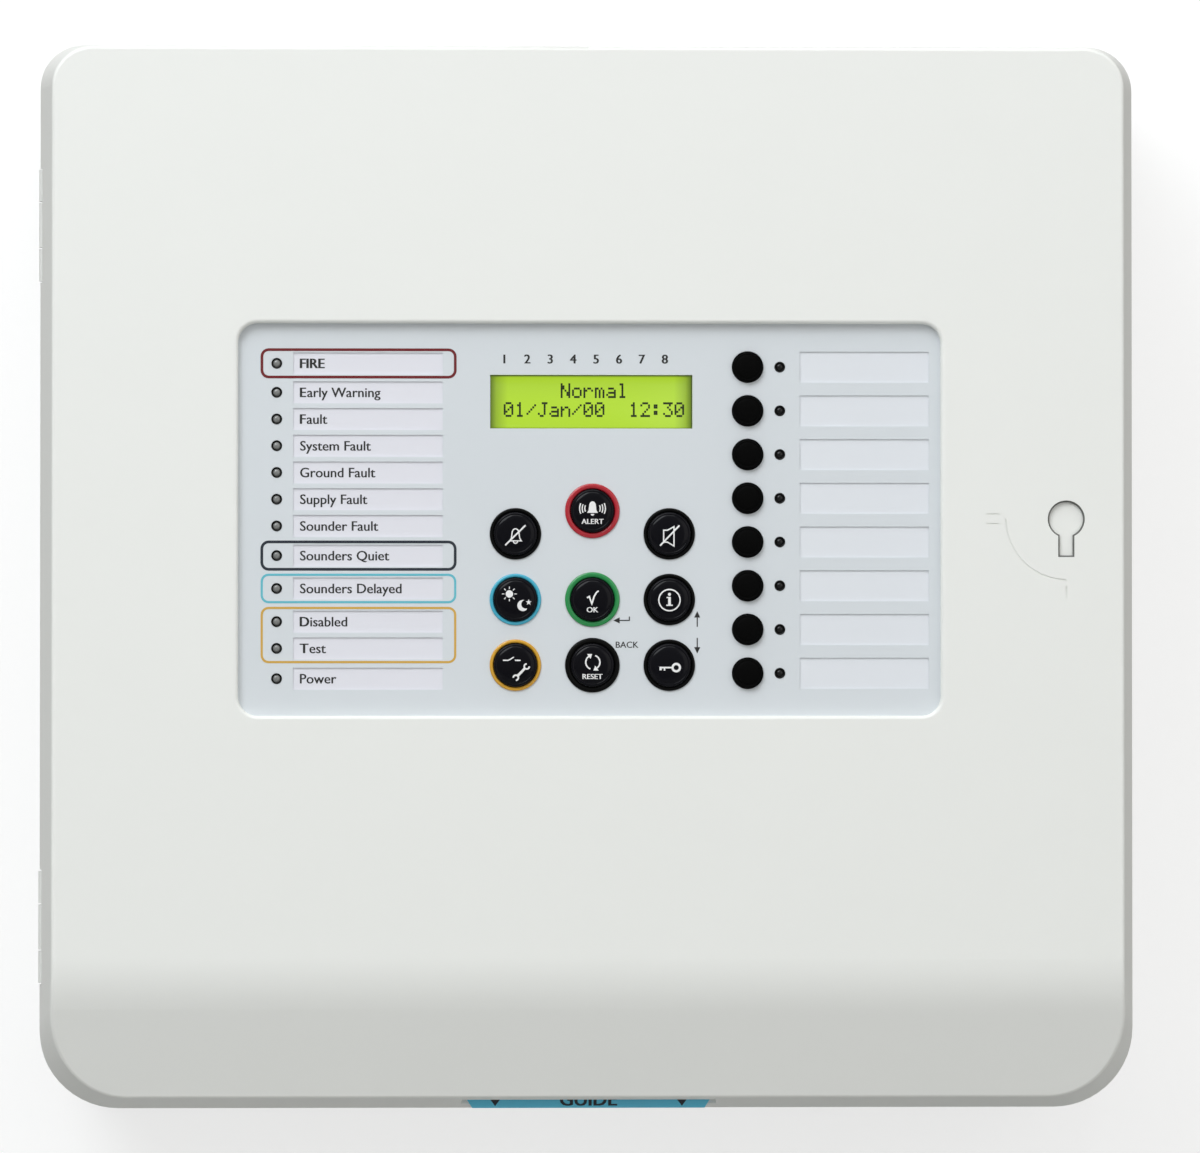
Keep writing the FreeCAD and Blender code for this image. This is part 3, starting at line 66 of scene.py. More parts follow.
Range = tuple[float, float]
Colour = tuple[float, float, float]
Place = tuple[float, float, float]
Socket = bpy.types.NodeSocket
Tree = bpy.types.NodeTree
Node = bpy.types.Node


# ---------------------------------------------------------------- shared shader effects

class Effect(Enum):
    """The shader groups that several finishes share."""

    MOTTLE = "Surface Mottle"
    GRAIN = "Moulded Grain"
    WEAR = "Edge Wear"
    BRUSH = "Brushed Lines"


def open_group(effect: Effect, inputs: Sequence[tuple[str, str, float]],
               outputs: Sequence[tuple[str, str]]) -> tuple[Tree, Node, Node]:
    """Starts a shader group.

    Args:
        effect: Which group it is.
        inputs: Each input's name, socket type and, for a float, its default.
        outputs: Each output's name and socket type.

    Returns:
        The group, its input node and its output node.
    """
    tree = bpy.data.node_groups.new(effect.value, "ShaderNodeTree")
    for name, kind, default in inputs:
        socket = tree.interface.new_socket(name, in_out="INPUT", socket_type=kind)
        if kind == "NodeSocketFloat":
            socket.default_value = default
    for name, kind in outputs:
        tree.interface.new_socket(name, in_out="OUTPUT", socket_type=kind)
    return tree, tree.nodes.new("NodeGroupInput"), tree.nodes.new("NodeGroupOutput")


def add_math(tree: Tree, operation: str, first: object, second: object) -> Socket:
    """Adds a Math node whose two inputs are sockets or numbers, and returns its output.

    Args:
        tree: The shader's nodes.
        operation: What the node does.
        first: Its first input.
        second: Its second input.

    Returns:
        The output.
    """
    node = tree.nodes.new("ShaderNodeMath")
    node.operation = operation
    for socket, source in zip(node.inputs, (first, second)):
        if isinstance(source, Socket):
            tree.links.new(source, socket)
        else:
            socket.default_value = source
    return node.outputs[0]


def add_noise(tree: Tree, vector: Socket, scale: object,
              detail: float = 3.0) -> Socket:
    """Adds a noise texture and returns its value, from 0 to 1.

    Args:
        tree: The shader's nodes.
        vector: Where the noise is read.
        scale: Its scale, as a number or a socket.
        detail: How many finer layers it has.

    Returns:
        The noise's value.
    """
    noise = tree.nodes.new("ShaderNodeTexNoise")
    noise.inputs["Detail"].default_value = detail
    tree.links.new(vector, noise.inputs["Vector"])
    if isinstance(scale, Socket):
        tree.links.new(scale, noise.inputs["Scale"])
    else:
        noise.inputs["Scale"].default_value = scale
    return noise.outputs["Fac"]


def object_place(tree: Tree) -> Socket:
    """The place on the object, in metres."""
    return tree.nodes.new("ShaderNodeTexCoord").outputs["Object"]


def mottle_group() -> Tree:
    """Colour that drifts a little over the surface, as moulded plastic and print do.

    Returns:
        The group.
    """
    tree, source, target = open_group(
        Effect.MOTTLE,
        [("Color", "NodeSocketColor", 0), ("Scale", "NodeSocketFloat", 30),
         ("Amount", "NodeSocketFloat", 0.1)],
        [("Color", "NodeSocketColor")])
    place = object_place(tree)
    broad = add_noise(tree, place, source.outputs["Scale"])
    centred = add_math(tree, "SUBTRACT", broad, 0.5)
    shift = add_math(tree, "MULTIPLY", centred, source.outputs["Amount"])
    value = add_math(tree, "ADD", shift, 1.0)
    tint = tree.nodes.new("ShaderNodeHueSaturation")
    tree.links.new(source.outputs["Color"], tint.inputs["Color"])
    tree.links.new(value, tint.inputs["Value"])
    tree.links.new(tint.outputs["Color"], target.inputs["Color"])
    return tree


def grain_group() -> Tree:
    """The fine texture of a moulding: a height for bump, and a roughness that varies with it.

    Returns:
        The group.
    """
    tree, source, target = open_group(
        Effect.GRAIN,
        [("Scale", "NodeSocketFloat", 2000), ("Roughness", "NodeSocketFloat", 0.4),
         ("Spread", "NodeSocketFloat", 0.08)],
        [("Height", "NodeSocketFloat"), ("Roughness", "NodeSocketFloat")])
    place = object_place(tree)
    fine = add_noise(tree, place, source.outputs["Scale"], 4.0)
    cloud = add_noise(tree, place, add_math(tree, "MULTIPLY", source.outputs["Scale"], 0.02))
    tree.links.new(fine, target.inputs["Height"])
    swing = add_math(tree, "MULTIPLY", add_math(tree, "SUBTRACT", cloud, 0.5), source.outputs["Spread"])
    tree.links.new(add_math(tree, "ADD", source.outputs["Roughness"], swing), target.inputs["Roughness"])
    return tree


def wear_group() -> Tree:
    """A mask of the sharp edges, broken up by noise.

    Returns:
        The group.
    """
    tree, source, target = open_group(
        Effect.WEAR, [("Width", "NodeSocketFloat", 0.5), ("Scale", "NodeSocketFloat", 400)],
        [("Mask", "NodeSocketFloat")])
    geometry = tree.nodes.new("ShaderNodeNewGeometry")
    edge = add_math(tree, "SUBTRACT", geometry.outputs["Pointiness"], 0.5)
    sharp = add_math(tree, "MULTIPLY", edge, 12.0)
    broken = add_math(tree, "MULTIPLY", sharp, add_noise(tree, object_place(tree), source.outputs["Scale"]))
    mask = add_math(tree, "MULTIPLY", broken, source.outputs["Width"])
    clamp = tree.nodes.new("ShaderNodeClamp")
    tree.links.new(mask, clamp.inputs["Value"])
    tree.links.new(clamp.outputs[0], target.inputs["Mask"])
    return tree


def brush_group() -> Tree:
    """Fine drawn lines along X for plated and rolled metal.

    Returns:
        The group.
    """
    tree, source, target = open_group(
        Effect.BRUSH, [("Scale", "NodeSocketFloat", 1500), ("Roughness", "NodeSocketFloat", 0.35)],
        [("Height", "NodeSocketFloat"), ("Roughness", "NodeSocketFloat")])
    mapping = tree.nodes.new("ShaderNodeMapping")
    mapping.inputs["Scale"].default_value = (0.05, 1.0, 1.0)
    tree.links.new(object_place(tree), mapping.inputs["Vector"])
    lines = add_noise(tree, mapping.outputs[0], source.outputs["Scale"], 2.0)
    tree.links.new(lines, target.inputs["Height"])
    swing = add_math(tree, "MULTIPLY", add_math(tree, "SUBTRACT", lines, 0.5), 0.25)
    tree.links.new(add_math(tree, "ADD", source.outputs["Roughness"], swing), target.inputs["Roughness"])
    return tree


GROUPS = {Effect.MOTTLE: mottle_group(), Effect.GRAIN: grain_group(),
          Effect.WEAR: wear_group(), Effect.BRUSH: brush_group()}


# ---------------------------------------------------------------- finishes

def add_effect(tree: Tree, effect: Effect, **values: object) -> Node:
    """Places a shared effect in a material.

    Args:
        tree: The material's nodes.
        effect: Which effect.
        **values: Its inputs, as numbers, colours or sockets.

    Returns:
        The group node.
    """
    node = tree.nodes.new("ShaderNodeGroup")
    node.node_tree = GROUPS[effect]
    for name, value in values.items():
        socket = node.inputs[name]
        if isinstance(value, Socket):
            tree.links.new(value, socket)
        else:
            socket.default_value = value
    return node


@dataclass(frozen=True)
class Finish:
    """A material finish: its colour, gloss, grain and the way its colour drifts."""

    name: str
    colour: Colour
    roughness: float = 0.4
    spread: float = 0.08
    metallic: float = 0.0
    grain: float = 2500.0
    depth: float = 0.02
    mottle: float = 0.06
    mottle_scale: float = 35.0
    wear: float = 0.0
    wear_colour: Colour = (0.8, 0.8, 0.8)
    coat: float = 0.0
    specular: float = 0.5
    brushed: bool = False

    def shader(self) -> tuple[bpy.types.Material, Tree, Node]:
        """A new material, its nodes and its Principled BSDF, with the plain values set.

        Returns:
            The material, its nodes and its shader.
        """
        material = bpy.data.materials.new(self.name)
        material.use_nodes = True
        tree = material.node_tree
        shader = tree.nodes["Principled BSDF"]
        shader.inputs["Metallic"].default_value = self.metallic
        shader.inputs["Coat Weight"].default_value = self.coat
        shader.inputs["Specular IOR Level"].default_value = self.specular
        material.diffuse_color = (*self.colour, 1.0)
        return material, tree, shader

    def paint(self, tree: Tree) -> object:
        """The colour before mottle and wear: a plain colour, or a socket in a richer finish."""
        return (*self.colour, 1.0)

    def relief(self, tree: Tree, height: Socket) -> Socket:
        """The height that the bump reads: the grain's, or more in a richer finish."""
        return height

    def build(self) -> bpy.types.Material:
        """Builds the material.

        Returns:
            The material.
        """
        material, tree, shader = self.shader()
        mottle = add_effect(tree, Effect.MOTTLE, Color=self.paint(tree), Scale=self.mottle_scale,
                            Amount=self.mottle)
        colour = mottle.outputs["Color"]
        if self.wear:
            mask = add_effect(tree, Effect.WEAR, Width=self.wear, Scale=500.0)
            mix = tree.nodes.new("ShaderNodeMix")
            mix.data_type = "RGBA"
            mix.inputs["B"].default_value = (*self.wear_colour, 1.0)
            tree.links.new(mask.outputs["Mask"], mix.inputs["Factor"])
            tree.links.new(colour, mix.inputs["A"])
            colour = mix.outputs["Result"]
        tree.links.new(colour, shader.inputs["Base Color"])
        if self.brushed:
            surface = add_effect(tree, Effect.BRUSH, Scale=self.grain, Roughness=self.roughness)
        else:
            surface = add_effect(tree, Effect.GRAIN, Scale=self.grain, Roughness=self.roughness,
                                 Spread=self.spread)
        tree.links.new(surface.outputs["Roughness"], shader.inputs["Roughness"])
        bump = tree.nodes.new("ShaderNodeBump")
        bump.inputs["Strength"].default_value = 1.0
        bump.inputs["Distance"].default_value = self.depth * MM
        tree.links.new(self.relief(tree, surface.outputs["Height"]), bump.inputs["Height"])
        tree.links.new(bump.outputs[0], shader.inputs["Normal"])
        self.extra(tree, shader)
        return material

    def extra(self, tree: Tree, shader: Node) -> None:
        """What a richer finish adds. A plain one adds nothing."""


def axis_place(tree: Tree, axis: str) -> Socket:
    """The place on the object along one axis, in metres.

    Args:
        tree: The shader's nodes.
        axis: X, Y or Z.

    Returns:
        The place.
    """
    split = tree.nodes.new("ShaderNodeSeparateXYZ")
    tree.links.new(object_place(tree), split.inputs[0])
    return split.outputs[axis]


def add_ramp(tree: Tree, value: Socket,
             stops: Sequence[tuple[float, Colour]]) -> Socket:
    """Adds a colour ramp with the given stops and returns its colour.

    Args:
        tree: The shader's nodes.
        value: What the ramp reads, from 0 to 1.
        stops: Each stop's place and colour.

    Returns:
        The ramp's colour.
    """
    ramp = tree.nodes.new("ShaderNodeValToRGB")
    elements = ramp.color_ramp.elements
    while len(elements) < len(stops):
        elements.new(0.5)
    for element, (place, colour) in zip(elements, stops):
        element.position = place
        element.color = (*colour, 1.0)
    tree.links.new(value, ramp.inputs[0])
    return ramp.outputs["Color"]


@dataclass(frozen=True)
class Stripes(Finish):
    """A finish striped along one axis, such as flat cable, laminations or wound wire."""

    axis: str = "Z"
    pitch: float = 1.27
    stripe: Colour = (0.3, 0.3, 0.3)
    ridge: float = 0.5

    def wave(self, tree: Tree) -> Socket:
        """A wave from 0 to 1 along the axis.

        Args:
            tree: The shader's nodes.

        Returns:
            The wave.
        """
        turns = add_math(tree, "MULTIPLY", axis_place(tree, self.axis), 2 * math.pi / (self.pitch * MM))
        swing = add_math(tree, "SINE", turns, 0.0)
        return add_math(tree, "MULTIPLY", add_math(tree, "ADD", swing, 1.0), 0.5)

    def paint(self, tree: Tree) -> object:
        """The two stripe colours."""
        return add_ramp(tree, self.wave(tree), [(0.1, self.stripe), (0.45, self.colour)])

    def relief(self, tree: Tree, height: Socket) -> Socket:
        """The stripes stand up as ridges."""
        ridge = add_math(tree, "MULTIPLY", self.wave(tree), self.ridge * 10)
        return add_math(tree, "ADD", height, ridge)


@dataclass(frozen=True)
class CircuitBoard(Finish):
    """Solder mask over copper tracks, with a scatter of small vias."""

    track: Colour = (0.06, 0.30, 0.14)
    via: Colour = (0.55, 0.50, 0.36)

    def tracks(self, tree: Tree) -> Socket:
        """Where copper runs under the mask: thin edges of squared cells.

        Args:
            tree: The shader's nodes.

        Returns:
            A mask of the tracks.
        """
        cells = tree.nodes.new("ShaderNodeTexVoronoi")
        cells.distance = "MANHATTAN"
        cells.inputs["Scale"].default_value = 160.0
        cells.inputs["Randomness"].default_value = 0.85
        tree.links.new(object_place(tree), cells.inputs["Vector"])
        folded = add_math(tree, "PINGPONG", cells.outputs["Distance"], 0.09)
        return add_math(tree, "GREATER_THAN", folded, 0.055)

    def paint(self, tree: Tree) -> object:
        """Mask, tracks and vias.

        Args:
            tree: The shader's nodes.

        Returns:
            The colour.
        """
        board = add_ramp(tree, self.tracks(tree), [(0.4, self.colour), (0.6, self.track)])
        dots = tree.nodes.new("ShaderNodeTexVoronoi")
        dots.inputs["Scale"].default_value = 220.0
        tree.links.new(object_place(tree), dots.inputs["Vector"])
        small = add_math(tree, "LESS_THAN", dots.outputs["Distance"], 0.11)
        mix = tree.nodes.new("ShaderNodeMix")
        mix.data_type = "RGBA"
        tree.links.new(small, mix.inputs["Factor"])
        tree.links.new(board, mix.inputs["A"])
        mix.inputs["B"].default_value = (*self.via, 1.0)
        return mix.outputs["Result"]

    def relief(self, tree: Tree, height: Socket) -> Socket:
        """The tracks stand up a little."""
        return add_math(tree, "ADD", height, add_math(tree, "MULTIPLY", self.tracks(tree), 2.0))


@dataclass(frozen=True)
class Backlight(Finish):
    """A display lit from behind, with painted shade that darkens it towards its edges, where its recess
    would shade it.
    """

    node: str = "lcd_glass"
    # The colour of the painted shade at the display's edges.
    edge: Colour = (0.075, 0.115, 0.018)
    glow: float = 1.4
    body: float = 0.30
    # How far in the painted edge shade reaches, across and up, in millimetres.
    shade_margin: Point = (5.5, 0.6)

    def shade_falloff(self, tree: Tree) -> Socket:
        """From 0 at the display's edges to 1 well inside them; this is the mask of the painted edge shade.

        Args:
            tree: The shader's nodes.

        Returns:
            The falloff.
        """
        low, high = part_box(self.node)
        reaches = []
        for axis, index, margin in (("X", 0, self.shade_margin[0]), ("Z", 2, self.shade_margin[1])):
            middle = (low[index] + high[index]) / 2
            half = (high[index] - low[index]) / 2
            off = add_math(tree, "ABSOLUTE", add_math(tree, "SUBTRACT", axis_place(tree, axis), middle), 0.0)
            reach = add_math(tree, "DIVIDE", add_math(tree, "SUBTRACT", half, off), margin * MM)
            reaches.append(add_math(tree, "MINIMUM", reach, 1.0))
        return add_math(tree, "MULTIPLY", reaches[0], reaches[1])

    def lit(self, tree: Tree, level: float) -> Socket:
        """The display's colour at a level of brightness, with painted shade darkening the edges.

        Args:
            tree: The shader's nodes.
            level: The brightness, from 0 to 1.

        Returns:
            The colour.
        """
        stops = [(0.0, self.edge), (0.35, mixed(self.edge, self.colour, 0.6)), (1.0, self.colour)]
        return add_ramp(tree, self.shade_falloff(tree), [(place, mixed(grey(0.0), tint, level))
                                                   for place, tint in stops])

    def paint(self, tree: Tree) -> object:
        """The dim colour that the display has of its own."""
        return self.lit(tree, self.body)

    def extra(self, tree: Tree, shader: Node) -> None:
        """The display gives off its own light, darkened at the edges by the same painted shade."""
        tree.links.new(self.lit(tree, 1.0), shader.inputs["Emission Color"])
        shader.inputs["Emission Strength"].default_value = self.glow


def mixed(first: Colour, second: Colour, share: float) -> Colour:
    """A colour part of the way from the first to the second."""
    return tuple(a + (b - a) * share for a, b in zip(first, second))


def grey(level: float) -> Colour:
    """A neutral grey."""
    return (level, level, level)


COVER = Finish("cover_plastic", (0.832, 0.840, 0.812), 0.42, grain=2600, depth=0.006, mottle=0.012)
HOUSING = Finish("housing_plastic", (0.815, 0.824, 0.796), 0.5, grain=1800, depth=0.015, mottle=0.02)
OVERLAY = Finish("overlay_film", (0.668, 0.705, 0.735), 0.36, grain=5200, depth=0.004, mottle=0.015)
PAPER = Finish("card_paper", (0.745, 0.745, 0.800), 0.75, grain=7000, depth=0.008, mottle=0.02)
ZONE_PAPER = Finish("zone_paper", (0.735, 0.760, 0.800), 0.75, grain=7000, depth=0.008, mottle=0.02)
BLACK = Finish("black_plastic", grey(0.018), 0.45, grain=1800, depth=0.02, mottle=0.2)
KEY_GLOSS = Finish("key_gloss", (0.003, 0.003, 0.005), 0.12, 0.04, grain=3500, depth=0.001, mottle=0.3,
                   specular=0.13)
KEY_MATT = Finish("key_matt", grey(0.002), 0.6, grain=3000, depth=0.004, mottle=0.3, specular=0.03)
RING_RED = Finish("ring_red", (0.42, 0.010, 0.022), 0.25, grain=2500, depth=0.002, coat=0.3)
RING_GREEN = Finish("ring_green", (0.012, 0.250, 0.060), 0.25, grain=2500, depth=0.002, coat=0.3)
RING_CYAN = Finish("ring_cyan", (0.045, 0.400, 0.560), 0.25, grain=2500, depth=0.002, coat=0.3)
RING_AMBER = Finish("ring_amber", (0.640, 0.330, 0.020), 0.25, grain=2500, depth=0.002, coat=0.3)
RING_BLACK = Finish("ring_black", grey(0.002), 0.3, grain=2500, depth=0.002, specular=0.1)
INK_BLACK = Finish("ink_black", grey(0.012), 0.5, grain=9000, depth=0.001, mottle=0.15)
INK_WHITE = Finish("ink_white", grey(0.82), 0.5, grain=9000, depth=0.001, mottle=0.03)
INK_RED = Finish("ink_red", (0.150, 0.004, 0.008), 0.5, grain=9000, depth=0.001)
INK_NAVY = Finish("ink_navy", (0.012, 0.018, 0.030), 0.5, grain=9000, depth=0.001)
INK_CYAN = Finish("ink_cyan", (0.120, 0.480, 0.580), 0.5, grain=9000, depth=0.001)
INK_AMBER = Finish("ink_amber", (0.620, 0.370, 0.060), 0.5, grain=9000, depth=0.001)
LAMP_RESIN = Finish("lamp_resin", (0.19, 0.195, 0.19), 0.18, 0.04, grain=1500, depth=0.001, mottle=0.2,
                    coat=0.5)
LAMP_SMOKE = Finish("lamp_smoke", grey(0.004), 0.16, 0.04, grain=1500, depth=0.001, specular=0.3)
LAMP_COLLAR = Finish("lamp_collar", grey(0.004), 0.4, grain=1800, depth=0.004, specular=0.15)
# The backlit display, with painted shade towards its edges.
DISPLAY = Backlight("display_glass", (0.270, 0.425, 0.022), 0.22, 0.03, grain=900, depth=0.001, mottle=0.03)
DISPLAY_DOT = Finish("display_dot", (0.008, 0.018, 0.001), 0.35, grain=9000, depth=0.001)
CARD_BLUE = Finish("card_blue", (0.120, 0.620, 0.860), 0.3, grain=5000, depth=0.002, coat=0.2)
BOARD = CircuitBoard("circuit_board", (0.010, 0.110, 0.040), 0.28, grain=2500, depth=0.010, mottle=0.12)
TERMINAL = Finish("terminal_green", (0.030, 0.290, 0.110), 0.42, grain=2500, depth=0.01, mottle=0.08)
MAINS = Finish("terminal_white", (0.70, 0.69, 0.62), 0.4, grain=2200, depth=0.01, mottle=0.05)
RELAY = Finish("relay_case", (0.012, 0.050, 0.220), 0.38, grain=2500, depth=0.008, mottle=0.1)
SLEEVE = Finish("capacitor_sleeve", (0.010, 0.012, 0.050), 0.3, grain=2500, depth=0.004, mottle=0.15)
ALUMINIUM = Finish("bare_aluminium", (0.74, 0.75, 0.76), 0.35, metallic=1.0, grain=1500, depth=0.006,
                   brushed=True)
ZINC = Finish("steel", (0.58, 0.57, 0.54), 0.33, metallic=1.0, grain=1200, depth=0.006, brushed=True,
              wear=0.4, wear_colour=(0.8, 0.8, 0.78))
TIN = Finish("tinned_brass", (0.70, 0.66, 0.55), 0.3, metallic=1.0, grain=1200, depth=0.006, brushed=True)
BATTERY = Finish("battery_case", grey(0.020), 0.42, grain=1500, depth=0.02, mottle=0.25, wear=0.5,
                 wear_colour=grey(0.09))
BATTERY_LABEL = Finish("battery_label", (0.60, 0.61, 0.60), 0.45, grain=5000, depth=0.002)
LEAD_RED = Finish("lead_red", (0.42, 0.008, 0.008), 0.38, grain=2200, depth=0.006)
LEAD_BLACK = Finish("lead_black", grey(0.012), 0.38, grain=2200, depth=0.006, mottle=0.2)
FUSE_GLASS = Finish("fuse_holder", (0.62, 0.62, 0.55), 0.15, grain=2000, depth=0.002, coat=0.6)
CORE = Stripes("transformer_core", (0.085, 0.082, 0.080), 0.4, metallic=0.6, grain=1500, depth=0.03,
               axis="Y", pitch=1.0, stripe=(0.025, 0.024, 0.022))
COPPER = Stripes("copper_winding", (0.52, 0.20, 0.075), 0.3, metallic=1.0, grain=1500, depth=0.03,
                 axis="Z", pitch=0.8, stripe=(0.20, 0.06, 0.02))
RIBBON = Stripes("ribbon_grey", (0.42, 0.43, 0.43), 0.45, grain=2500, depth=0.03, axis="Z", pitch=1.27,
                 stripe=(0.27, 0.28, 0.28))
RUBBER = Finish("grommet_rubber", grey(0.022), 0.5, grain=1200, depth=0.02, mottle=0.25)
LAMP_TAPE = Finish("winding_tape", (0.62, 0.50, 0.10), 0.35, grain=2500, depth=0.01, mottle=0.1)
# A dark colour painted as the shadow in the gap round the keyhole.
KEYHOLE_SHADOW = Finish("painted_keyhole_shadow", (0.14, 0.142, 0.135), 0.6, grain=2500, depth=0.005)
WALL = Finish("studio_wall", (0.40, 0.40, 0.40), 0.9, grain=300, depth=0.01, mottle=0.01)
FLOOR = Finish("studio_floor", (0.40, 0.40, 0.392), 0.8, grain=200, depth=0.02, mottle=0.02)

_BUILT: dict[str, bpy.types.Material] = {}


def material(finish: Finish) -> bpy.types.Material:
    """The material of a finish, built the first time that it is asked for.

    Args:
        finish: The finish.

    Returns:
        The material.
    """
    if finish.name not in _BUILT:
        _BUILT[finish.name] = finish.build()
    return _BUILT[finish.name]


# ---------------------------------------------------------------- shapes

class Axis(Enum):
    """The axis that a turned shape is turned about."""

    DEPTH = "out from the wall"
    ACROSS = "along X"
    UPRIGHT = "along Z"


def at(x: float, depth: float, z: float) -> Vector:
    """A place in the frame, from millimetres and a depth out from the wall."""
    return Vector((x, -depth, z)) * MM


def arc(x: float, z: float, radius: float, start: float = 0.0, turn: float = 360.0,
        count: int = 24) -> list[Point]:
    """Points along an arc.

    Args:
        x: The centre's place across.
        z: The centre's height.
        radius: The arc's radius.
        start: Where it starts, in degrees from the right.
        turn: How far it goes, in degrees. A full turn doesn't repeat its first point.
        count: How many steps it has.

    Returns:
        The points.
    """
    steps = count if abs(turn) >= 360 else count + 1
    angles = [math.radians(start + turn * step / count) for step in range(steps)]
    return [(x + radius * math.cos(a), z + radius * math.sin(a)) for a in angles]


def rounded(x: float, z: float, width: float, height: float, corner: float) -> list[Point]:
    """The outline of a rectangle with round corners, from its centre.

    Args:
        x: Its middle across.
        z: Its middle's height.
        width: Its width.
        height: Its height.
        corner: The radius of its corners.

    Returns:
        The outline's points.
    """
    points: list[Point] = []
    for quarter, (side, end) in enumerate(((1, 1), (-1, 1), (-1, -1), (1, -1))):
        points += arc(x + side * (width / 2 - corner), z + end * (height / 2 - corner), corner,
                      quarter * 90, 90, 5)
    return points


def rectangle(x: float, z: float, width: float, height: float) -> list[Point]:
    """The outline of a square-edged rectangle, from its centre.

    Args:
        x: Its middle across.
        z: Its middle's height.
        width: Its width.
        height: Its height.

    Returns:
        The four corners.
    """
    return [(x - width / 2, z - height / 2), (x + width / 2, z - height / 2),
            (x + width / 2, z + height / 2), (x - width / 2, z + height / 2)]


@dataclass(frozen=True)
class Island:
    """One loose solid of a CAD node, in millimetres: its reach across, up and out from the wall."""

    x: Range
    z: Range
    depth: Range

    @property
    def centre(self) -> Point:
        """Its middle, seen from the front."""
        return (sum(self.x) / 2, sum(self.z) / 2)

    @property
    def width(self) -> float:
        """Its width across."""
        return self.x[1] - self.x[0]

    @property
    def height(self) -> float:
        """Its height."""
        return self.z[1] - self.z[0]


def islands(node: str) -> list[Island]:
    """The loose solids of a CAD node, from the left and then from the top.

    Args:
        node: The CAD node's name.

    Returns:
        The solids.
    """
    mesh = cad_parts[node].data
    places: dict[tuple[float, ...], int] = {}
    number = [places.setdefault(tuple(round(c, 5) for c in v.co), len(places)) for v in mesh.vertices]
    parent = list(range(len(places)))

    def root(index: int) -> int:
        """The first point of the solid that a point belongs to.

        Args:
            index: The point.

        Returns:
            The first point.
        """
        while parent[index] != index:
            parent[index] = parent[parent[index]]
            index = parent[index]
        return index

    for edge in mesh.edges:
        first, second = (root(number[v]) for v in edge.vertices)
        parent[first] = second
    members: dict[int, list[tuple[float, ...]]] = {}
    for place, index in places.items():
        members.setdefault(root(index), []).append(place)
    found = []
    for points in members.values():
        low = np.min(points, axis=0) / MM
        high = np.max(points, axis=0) / MM
        found.append(Island((low[0], high[0]), (low[2], high[2]), (-high[1], -low[1])))
    return sorted(found, key=lambda island: (round(island.x[0]), -island.z[0]))


def island(node: str) -> Island:
    """The reach of a whole CAD node."""
    low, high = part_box(node)
    return Island((low.x / MM, high.x / MM), (low.z / MM, high.z / MM), (-high.y / MM, -low.y / MM))


